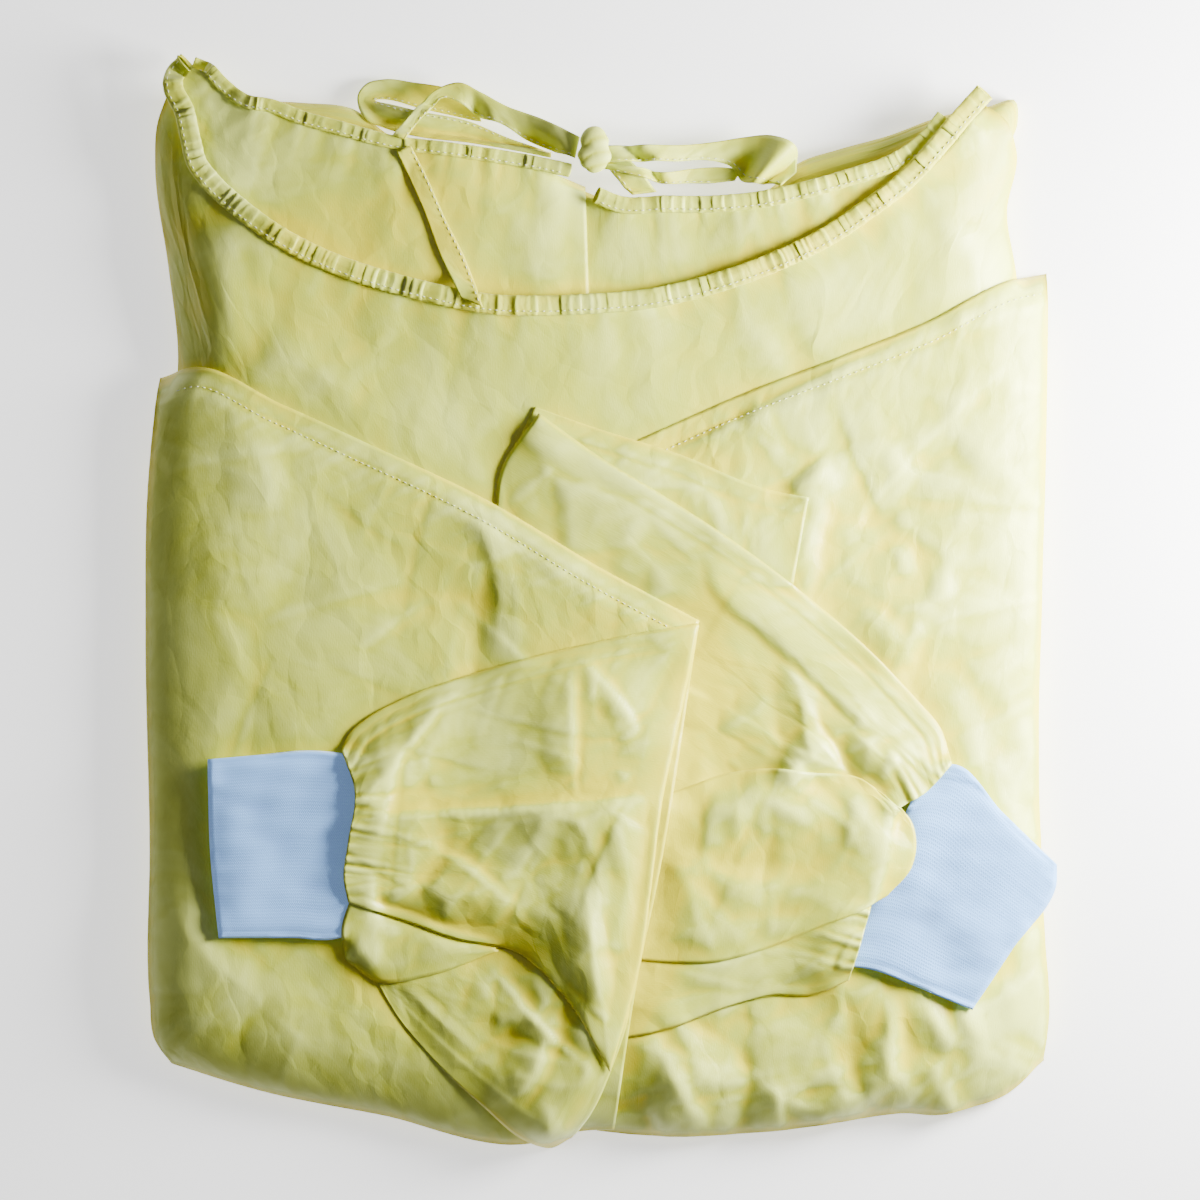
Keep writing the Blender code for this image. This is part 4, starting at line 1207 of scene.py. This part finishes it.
def cuff_piece(name, mouth):
    """A flattened tube of rib knit: ribs run along it, and its mouth stands a little open."""
    borders = BORDERS[name]
    across, rows = 73, 30
    plan = patch(borders, across, rows)
    if mouth == "left":
        plan = plan[:, ::-1]
    plan = plan.transpose(1, 0, 2)
    base = blur(solid_top(name, plan), 8)
    spread = np.linspace(0, 1, across)[None]
    run = np.linspace(0, 1, rows)[:, None]
    side = np.abs(2 * spread - 1)
    swell_side = np.sqrt(1 - np.clip((side - 0.93) / 0.07, 0, 1) ** 2)
    waves = 0.5 * swell(plan, 38 * MM, 61) + 0.25 * swell(plan, 16 * MM, 62)
    bead = np.exp(-(((run - 0.965) / 0.03) ** 2))
    lower = settle(plan, solid_top(name, plan, underneath=True)) + 0.1 * MM
    knit = sizes().knit
    upper = base + (waves + 0.35 * bead - 0.2) * MM
    upper = np.maximum(upper, lower + 2 * knit + 0.3 * MM)
    middle = lower + 0.5 * (upper - lower)
    upper = middle + (upper - middle) * swell_side
    under = middle - (middle - lower) * swell_side
    # Painted shade in the troughs of the knit's waves.
    low = np.clip(-0.4 * waves, 0, 1)
    ring = np.concatenate([np.dstack([plan, upper]), np.dstack([plan, under])[:, ::-1][:, 1:]], axis=1)
    painted_shade = np.concatenate([low, low[:, ::-1][:, 1:]], axis=1)
    flip = mouth == "right"
    obj = grid_piece(name + "_cloth", ring, painted_shade, "Rib knit", 0.75 * knit, weld=True, flip=flip)
    declare(obj)
    pile.lay(obj)
    return obj


def stitches(name, line):
    """A row of small rounded stitches lying on the pile along a line."""
    pitch, thread = sizes().stitch_pitch, sizes().thread
    count = max(2, int(length_of(line) / pitch))
    ends = evenly(line, 2 * count)
    starts, stops = ends[0::2], ends[1::2]
    section, profile = 6, ((0.0, 0.25), (0.15, 0.85), (0.5, 1.0), (0.85, 0.85), (1.0, 0.25))
    verts, faces = [], []
    for one, two in zip(starts, stops):
        way = two - one
        long = np.linalg.norm(way)
        way = way / long
        stop = one + way * min(long, 0.62 * pitch)
        cross = np.array((-way[1], way[0]))
        base = len(verts)
        rise = [float(pile.at((one + (stop - one) * share)[None])[0]) for share, _ in profile]
        top = max(rise)
        for (share, swollen), height in zip(profile, rise):
            centre = one + (stop - one) * share
            lift = 0.5 * (height + top) + thread * (0.55 * swollen - 0.15)
            for k in range(section):
                turn = 2 * math.pi * k / section
                flat = centre + cross * (0.5 * thread * swollen * math.cos(turn))
                verts.append((flat[0], flat[1], lift + 0.5 * thread * swollen * math.sin(turn)))
        for ring in range(len(profile) - 1):
            for k in range(section):
                a, b = base + ring * section + k, base + ring * section + (k + 1) % section
                faces.append((a, b, b + section, a + section))
        faces.append(tuple(base + k for k in reversed(range(section))))
        last = base + (len(profile) - 1) * section
        faces.append(tuple(last + k for k in range(section)))
    mesh = bpy.data.meshes.new(name)
    mesh.from_pydata(verts, [], faces)
    place_mesh(mesh, "Thread")


def seam_stitches(name, side, inset, low=0.02, high=0.98):
    """Stitches along a border of a laid piece, this far inside it."""
    line = smooth_line(BORDERS[name][side], 300)
    heading = np.gradient(line, axis=0)
    normal = np.c_[-heading[:, 1], heading[:, 0]] / np.linalg.norm(heading, axis=1, keepdims=True)
    inside = plan_of(name, 12 * MM).reshape(-1, 2).mean(axis=0)
    if ((inside - line[150]) * normal[150]).sum() < 0:
        normal = -normal
    path = line + normal * inset
    stitches(f"{name}_{side}_stitches", path[int(300 * low) : int(300 * high)])


# Materials


def group(name, inputs, outputs):
    """A new node group with its named sockets; gives its tree, input and output nodes."""
    tree = bpy.data.node_groups.new(name, "ShaderNodeTree")
    for title, kind, default in inputs:
        socket = tree.interface.new_socket(title, in_out="INPUT", socket_type=kind)
        if default is not None:
            socket.default_value = default
    for title, kind in outputs:
        tree.interface.new_socket(title, in_out="OUTPUT", socket_type=kind)
    return tree, tree.nodes.new("NodeGroupInput"), tree.nodes.new("NodeGroupOutput")


def feed(tree, socket, value):
    """Sets an input to a value, or links another node's output to it."""
    if isinstance(value, bpy.types.NodeSocket):
        tree.links.new(value, socket)
    else:
        socket.default_value = value


def node(tree, kind, inputs=(), **settings):
    """A new shader node with its settings; each input is fed a value or an output."""
    made = tree.nodes.new(kind)
    for key, value in settings.items():
        setattr(made, key, value)
    for key, value in dict(inputs).items():
        feed(tree, made.inputs[key], value)
    return made


def maths(tree, operation, one, two=None, three=None, clamp=False):
    """The output of a new math node; its inputs are numbers or other outputs."""
    made = node(tree, "ShaderNodeMath", operation=operation, use_clamp=clamp)
    for socket, value in zip(made.inputs, (one, two, three)):
        if value is not None:
            feed(tree, socket, value)
    return made.outputs[0]


def rumple(tree, shader, height, strength=1.0, distance=MM):
    """Gives a material's surface this height."""
    bump = node(tree, "ShaderNodeBump", {"Strength": strength, "Distance": distance, "Height": height})
    feed(tree, shader.inputs["Normal"], bump.outputs[0])


def shade(tree, shader, mask, one, two):
    """Gives a material the first colour, and the second one where the mask is 1."""
    inputs = {"Fac": mask, "Color1": (*one, 1), "Color2": (*two, 1)}
    tint = node(tree, "ShaderNodeMixRGB", inputs)
    feed(tree, shader.inputs["Base Color"], tint.outputs[0])


def nonwoven_group():
    """Fibres, bonded dots, cloudy thickness and small facets of nonwoven cloth."""
    tree, given, out = group(
        "Nonwoven cloth",
        (
            ("Coordinates", "NodeSocketVector", None),
            ("Facet size", "NodeSocketFloat", 7.0),
            ("Facet height", "NodeSocketFloat", 0.5),
        ),
        (("Height", "NodeSocketFloat"), ("Clouds", "NodeSocketFloat")),
    )
    place = given.outputs["Coordinates"]
    cloudy = {"Vector": place, "Scale": 17.0, "Detail": 4.0, "Roughness": 0.6, "Distortion": 0.6}
    clouds = node(tree, "ShaderNodeTexNoise", cloudy, noise_dimensions="2D")
    cells = {"feature": "F1", "voronoi_dimensions": "2D"}
    tilt = node(tree, "ShaderNodeMapping", {"Vector": place, "Rotation": (0, 0, math.radians(40))})
    bonds = {"Vector": tilt.outputs[0], "Scale": 620.0, "Randomness": 0.06}
    dots = node(tree, "ShaderNodeTexVoronoi", bonds, **cells)
    edge = {"From Min": 0.18, "From Max": 0.42, "To Min": 0.0, "To Max": 1.0}
    edge["Value"] = dots.outputs["Distance"]
    dot = node(tree, "ShaderNodeMapRange", edge, interpolation_type="SMOOTHSTEP")
    fibres = []
    for turn, stretch in ((20, 0.12), (-55, 0.15)):
        lie = {"Vector": place, "Rotation": (0, 0, math.radians(turn)), "Scale": (1.0, stretch, 1.0)}
        aim = node(tree, "ShaderNodeMapping", lie)
        thin = {"Vector": aim.outputs[0], "Scale": 2600.0, "Detail": 1.0}
        fibres.append(node(tree, "ShaderNodeTexNoise", thin, noise_dimensions="2D").outputs["Fac"])
    wavy = {"Vector": place, "Scale": 60.0, "Detail": 1.0}
    bends = node(tree, "ShaderNodeTexNoise", wavy, noise_dimensions="2D")
    bent = {"Fac": 0.005, "Color1": place, "Color2": bends.outputs["Color"]}
    warp = node(tree, "ShaderNodeMixRGB", bent, blend_type="LINEAR_LIGHT")
    rate = maths(tree, "DIVIDE", 1000.0, given.outputs["Facet size"])
    shown = maths(tree, "MULTIPLY_ADD", clouds.outputs["Fac"], 4.0, -1.4, clamp=True)
    facet = 0.0
    for wider, share in ((1.0, shown), (2.7, 2.2)):
        squares = []
        for shift in (0.0, 3.7):
            offset = {"Location": (shift, 0.6 * shift, 0), "Scale": (1.0, 0.7, 1.0)}
            move = node(tree, "ShaderNodeMapping", {"Vector": warp.outputs[0], **offset})
            scale = maths(tree, "DIVIDE", rate, wider)
            faceted = {"Vector": move.outputs[0], "Scale": scale, "Randomness": 1.0}
            cell = node(tree, "ShaderNodeTexVoronoi", faceted, **cells)
            squares.append(maths(tree, "POWER", cell.outputs["Distance"], 2.0))
        layer = maths(tree, "MULTIPLY", maths(tree, "SUBTRACT", *squares), given.outputs["Facet height"])
        facet = maths(tree, "MULTIPLY_ADD", layer, share, facet)
    fine = maths(tree, "MULTIPLY", maths(tree, "ADD", *fibres), 0.03)
    bonded = maths(tree, "MULTIPLY", dot.outputs[0], 0.007)
    height = maths(tree, "ADD", maths(tree, "ADD", facet, fine), bonded)
    feed(tree, out.inputs["Height"], height)
    feed(tree, out.inputs["Clouds"], clouds.outputs["Fac"])
    return tree


def blank_material(name, **inputs):
    """A new material with these shader inputs; gives its tree and its shader too."""
    made = bpy.data.materials.new(name)
    made.use_nodes = True
    shader = made.node_tree.nodes["Principled BSDF"]
    for title, value in inputs.items():
        shader.inputs[title.replace("_", " ")].default_value = value
    return made, made.node_tree, shader


def cloth_material(name, cloth, pale, mid, painted_shade, facet_size, facet_height, roughness, painted_shade_gain):
    """A nonwoven material: painted highlight, a pale colour, on its ridges, and painted shade, a saturated
    yellow, in its valleys.
    """
    made, tree, shader = blank_material(
        name, Sheen_Weight=0.12, Sheen_Roughness=0.5, Specular_IOR_Level=0.55
    )
    coordinates = node(tree, "ShaderNodeUVMap", uv_map="Cloth").outputs["UV"]
    pattern = node(tree, "ShaderNodeGroup", node_tree=cloth)
    inputs = {"Coordinates": coordinates, "Facet size": facet_size, "Facet height": facet_height}
    for title, value in inputs.items():
        feed(tree, pattern.inputs[title], value)
    # The valley attribute carries painted shade, and painted highlight where negative; random clouds of the
    # cloth's own tone add to it.
    valley = node(tree, "ShaderNodeAttribute", attribute_name="valley", attribute_type="GEOMETRY")
    cloudy = maths(tree, "MULTIPLY_ADD", pattern.outputs["Clouds"], 1.2, -0.20)
    mask = maths(tree, "MULTIPLY_ADD", valley.outputs["Fac"], painted_shade_gain, cloudy, clamp=True)
    # The ramp runs from the painted highlight's pale colour, through the cloth's own colour, to the painted
    # shade's colour.
    tint = node(tree, "ShaderNodeValToRGB", {"Fac": mask})
    tint.color_ramp.elements[0].color = (*pale, 1)
    tint.color_ramp.elements[1].color = (*painted_shade, 1)
    middle = tint.color_ramp.elements.new(0.45)
    middle.color = (*mid, 1)
    feed(tree, shader.inputs["Base Color"], tint.outputs[0])
    rough = maths(tree, "MULTIPLY_ADD", pattern.outputs["Clouds"], 0.2, roughness - 0.1)
    feed(tree, shader.inputs["Roughness"], rough)
    rumple(tree, shader, pattern.outputs["Height"])
    return made


def knit_material():
    """Rib knit: small V stitches along each rib. Painted shade, a dimmer blue, lies in its hollows, in soft
    patches and under higher layers, and a painted glow keeps its shadows between the ribs pale blue.
    """
    made, tree, shader = blank_material(
        "Rib knit", Sheen_Weight=0.4, Specular_IOR_Level=0.25, Roughness=0.85,
        Emission_Color=KNIT_PAINTED_GLOW, Emission_Strength=0.35,
    )
    coordinates = node(tree, "ShaderNodeUVMap", uv_map="Cloth").outputs["UV"]
    parts = node(tree, "ShaderNodeSeparateXYZ", {"Vector": coordinates})
    slant = maths(tree, "PINGPONG", parts.outputs["X"], 0.5 * sizes().rib)
    rise = maths(tree, "ADD", parts.outputs["Y"], slant)
    loops = maths(tree, "SINE", maths(tree, "MULTIPLY", rise, 2 * math.pi / KNIT_ROW))
    turns = maths(tree, "MULTIPLY", parts.outputs["X"], 2 * math.pi / sizes().rib)
    ribs = maths(tree, "MULTIPLY", maths(tree, "COSINE", turns), 0.022)
    woolly = {"Vector": coordinates, "Scale": 1800.0, "Detail": 2.0}
    fuzz = node(tree, "ShaderNodeTexNoise", woolly, noise_dimensions="2D")
    fuzzy = maths(tree, "MULTIPLY_ADD", fuzz.outputs["Fac"], 0.12, ribs)
    rumple(tree, shader, maths(tree, "MULTIPLY_ADD", loops, 0.035, fuzzy))
    # Painted shade: the valley attribute and random patches mark where the knit takes a shaded copy of its
    # blue.
    valley = node(tree, "ShaderNodeAttribute", attribute_name="valley", attribute_type="GEOMETRY")
    patches = node(tree, "ShaderNodeTexNoise", {"Vector": coordinates, "Scale": 28.0, "Detail": 3.0})
    pale = colours().knit
    # A shaded copy of the knit's blue, for the painted shade.
    shaded_knit = tuple(channel * factor for channel, factor in zip(pale, (0.55, 0.52, 0.52)))
    # Painted shade in soft random patches, as of dents in the knit.
    patchy_shade = maths(tree, "MULTIPLY_ADD", patches.outputs["Fac"], 0.9, -0.42)
    mask = maths(tree, "ADD", valley.outputs["Fac"], patchy_shade, clamp=True)
    shade(tree, shader, mask, pale, shaded_knit)
    return made


def thread_material():
    """Twisted polyester thread."""
    made, tree, shader = blank_material("Thread", Roughness=0.6, Sheen_Weight=0.2)
    place = node(tree, "ShaderNodeTexCoord").outputs["Object"]
    twist = node(tree, "ShaderNodeTexNoise", {"Vector": place, "Scale": 3000.0, "Detail": 2.0})
    rumple(tree, shader, twist.outputs["Fac"], strength=0.6, distance=0.1 * MM)
    thread = colours().thread
    shade(tree, shader, twist.outputs["Fac"], thread, [0.8 * channel for channel in thread])
    return made


def floor_material():
    """A matt pale table."""
    made, tree, shader = blank_material(
        "Pale floor", Roughness=0.9, Specular_IOR_Level=0.1,
        Emission_Color=(1, 1, 1, 1), Emission_Strength=1.3,
    )
    place = node(tree, "ShaderNodeTexCoord").outputs["Object"]
    grain = node(tree, "ShaderNodeTexNoise", {"Vector": place, "Scale": 3.0, "Detail": 3.0})
    shade(tree, shader, grain.outputs["Fac"], (0.88, 0.88, 0.87), (0.92, 0.92, 0.92))
    return made


# Operators


class GOWN_OT_materials(Operator):
    """Makes the cloth, knit and thread materials and starts an empty pile."""

    bl_idname = "gown.materials"
    bl_label = "Materials"

    def execute(self, context):
        global pile
        pile = Pile()
        cloth = nonwoven_group()
        pale, mid, painted_shade = tuple(colours().pale), tuple(colours().mid), tuple(colours().painted_shade)
        # The last number of each is how strongly the painted shade shows.
        cloth_material("Nonwoven", cloth, pale, mid, painted_shade, 10.0, 0.34, 0.42, 0.72)
        cloth_material("Nonwoven folded", cloth, pale, mid, painted_shade, 11.0, 0.2, 0.65, 0.9)
        cloth_material("Binding", cloth, pale, mid, painted_shade, 4.0, 0.15, 0.6, 0.6)
        knit_material()
        thread_material()
        return {"FINISHED"}


class GOWN_OT_skirt(Operator):
    """Lays the folded skirt, the stack of hidden layers that everything rests on."""

    bl_idname = "gown.skirt"
    bl_label = "Folded skirt"

    def execute(self, context):
        skirt_piece()
        return {"FINISHED"}


class GOWN_OT_body(Operator):
    """Lays the two back panels and then the front panel."""

    bl_idname = "gown.body"
    bl_label = "Body panels"

    def execute(self, context):
        sheet_piece("back_left", rounded=("left",))
        sheet_piece("back_right", rounded=("right",))
        sheet_piece(
            "front",
            sides=("left", "right", "bottom"), rounded=("left", "right", "bottom"),
        )
        return {"FINISHED"}


class GOWN_OT_bindings(Operator):
    """Lays the gathered binding round the neckline, with its stitching."""

    bl_idname = "gown.bindings"
    bl_label = "Neck bindings"

    def execute(self, context):
        for name in BINDINGS:
            binding_piece(name)
        return {"FINISHED"}


class GOWN_OT_ties(Operator):
    """Lays the neck ties, stretch by stretch, and ties their knot."""

    bl_idname = "gown.ties"
    bl_label = "Neck ties"

    def execute(self, context):
        for name in TIES:
            tie_piece(name)
        knot_piece()
        return {"FINISHED"}


class GOWN_OT_left_sleeve(Operator):
    """Lays the wearer's left sleeve, folded across the chest and back outwards."""

    bl_idname = "gown.left_sleeve"
    bl_label = "Left sleeve"

    def execute(self, context):
        sheet_piece(
            "sleeve_left_upper",
            sides=("right", "bottom"), rounded=("top", "right", "bottom"),
        )
        seam_stitches("sleeve_left_upper", "top", sizes().seam_band)
        sheet_piece("sleeve_left_elbow", rounded=("top", "left"))
        cuff_piece("cuff_left", "right")
        tube_piece("sleeve_left_lower", "left")
        sheet_piece(
            "sleeve_left_flap",
            rounded=("top", "right", "bottom", "left"),
        )
        return {"FINISHED"}


class GOWN_OT_right_sleeve(Operator):
    """Lays the wearer's right sleeve, folded across the chest and back outwards."""

    bl_idname = "gown.right_sleeve"
    bl_label = "Right sleeve"

    def execute(self, context):
        sheet_piece(
            "sleeve_right_upper",
            sides=("left", "bottom"), rounded=("top", "left", "bottom"),
        )
        seam_stitches("sleeve_right_upper", "top", sizes().seam_band)
        cuff_piece("cuff_right", "left")
        sheet_piece(
            "sleeve_right_underfold",
            rounded=("top", "right", "bottom"),
        )
        sheet_piece(
            "sleeve_right_strip",
            rounded=("top", "left", "bottom", "right"),
        )
        tube_piece("sleeve_right_lower", "right")
        return {"FINISHED"}


class GOWN_OT_paint_shade(Operator):
    """Paints shade into the cloth's colour in valleys and under the edges of higher layers, and paints the
    listed highlights.
    """

    bl_idname = "gown.deepen"
    bl_label = "Deepen valleys"

    def execute(self, context):
        deepen()
        return {"FINISHED"}


class GOWN_OT_stage(Operator):
    """Sets the floor, the soft light from the right and the camera straight above."""

    bl_idname = "gown.stage"
    bl_label = "Stage"

    def execute(self, context):
        bm = bmesh.new()
        bmesh.ops.create_grid(bm, x_segments=1, y_segments=1, size=3.0)
        mesh = bpy.data.meshes.new("floor")
        bm.to_mesh(mesh)
        bm.free()
        mesh.materials.append(floor_material())
        floor = bpy.data.objects.new("floor", mesh)
        floor.location = (0, 0, -0.0005)
        context.scene.collection.objects.link(floor)
        self.light("Key", KEY_PLACE, KEY_SIZE, colours().key)
        self.light("Fill", FILL_PLACE, FILL_SIZE, colours().fill)
        world = bpy.data.worlds.new("Studio")
        world.use_nodes = True
        back = world.node_tree.nodes["Background"]
        back.inputs["Color"].default_value = (1.0, 1.0, 1.0, 1)
        back.inputs["Strength"].default_value = colours().sky
        context.scene.world = world
        camera = bpy.data.cameras.new("Camera")
        camera.lens = LENS
        camera.sensor_width = SENSOR_WIDTH
        camera.clip_end = 10
        eye = bpy.data.objects.new("Camera", camera)
        eye.location = CAMERA_PLACE
        context.scene.collection.objects.link(eye)
        context.scene.camera = eye
        return {"FINISHED"}

    def light(self, name, place, size, power):
        """A square light, turned to the middle of the gown."""
        lamp = bpy.data.lights.new(name, "AREA")
        lamp.shape = "SQUARE"
        lamp.size = size
        lamp.energy = power
        obj = bpy.data.objects.new(name, lamp)
        obj.location = place
        obj.rotation_euler = (-Vector(place)).to_track_quat("-Z", "Y").to_euler()
        bpy.context.scene.collection.objects.link(obj)


class GOWN_PT_panel(Panel):
    """The gown's settings and steps in the 3D view's sidebar."""

    bl_label = "Gown"
    bl_idname = "GOWN_PT_panel"
    bl_space_type = "VIEW_3D"
    bl_region_type = "UI"
    bl_category = "Gown"

    def draw(self, context):
        for settings in (context.scene.gown_sizes, context.scene.gown_colours):
            for key in settings.__annotations__:
                self.layout.prop(settings, key)
        for step in STEPS:
            self.layout.operator(step.bl_idname)


STEPS = (
    GOWN_OT_materials,
    GOWN_OT_skirt,
    GOWN_OT_body,
    GOWN_OT_bindings,
    GOWN_OT_ties,
    GOWN_OT_left_sleeve,
    GOWN_OT_right_sleeve,
    GOWN_OT_paint_shade,
    GOWN_OT_stage,
)
CLASSES = (GownSettings, ColourSettings, *STEPS, GOWN_PT_panel)


def register():
    for kind in CLASSES:
        register_class(kind)
    bpy.types.Scene.gown_sizes = PointerProperty(type=GownSettings)
    bpy.types.Scene.gown_colours = PointerProperty(type=ColourSettings)


def unregister():
    del bpy.types.Scene.gown_colours
    del bpy.types.Scene.gown_sizes
    for kind in reversed(CLASSES):
        unregister_class(kind)


def plain(box):
    """A box's corners as plain lists."""
    return [[float(x) for x in corner] for corner in box]


def main():
    register()
    bpy.ops.gown.materials()
    bpy.ops.gown.skirt()
    bpy.ops.gown.body()
    bpy.ops.gown.bindings()
    bpy.ops.gown.ties()
    bpy.ops.gown.left_sleeve()
    bpy.ops.gown.right_sleeve()
    bpy.ops.gown.deepen()
    bpy.ops.gown.stage()


if __name__ == "__main__":
    main()
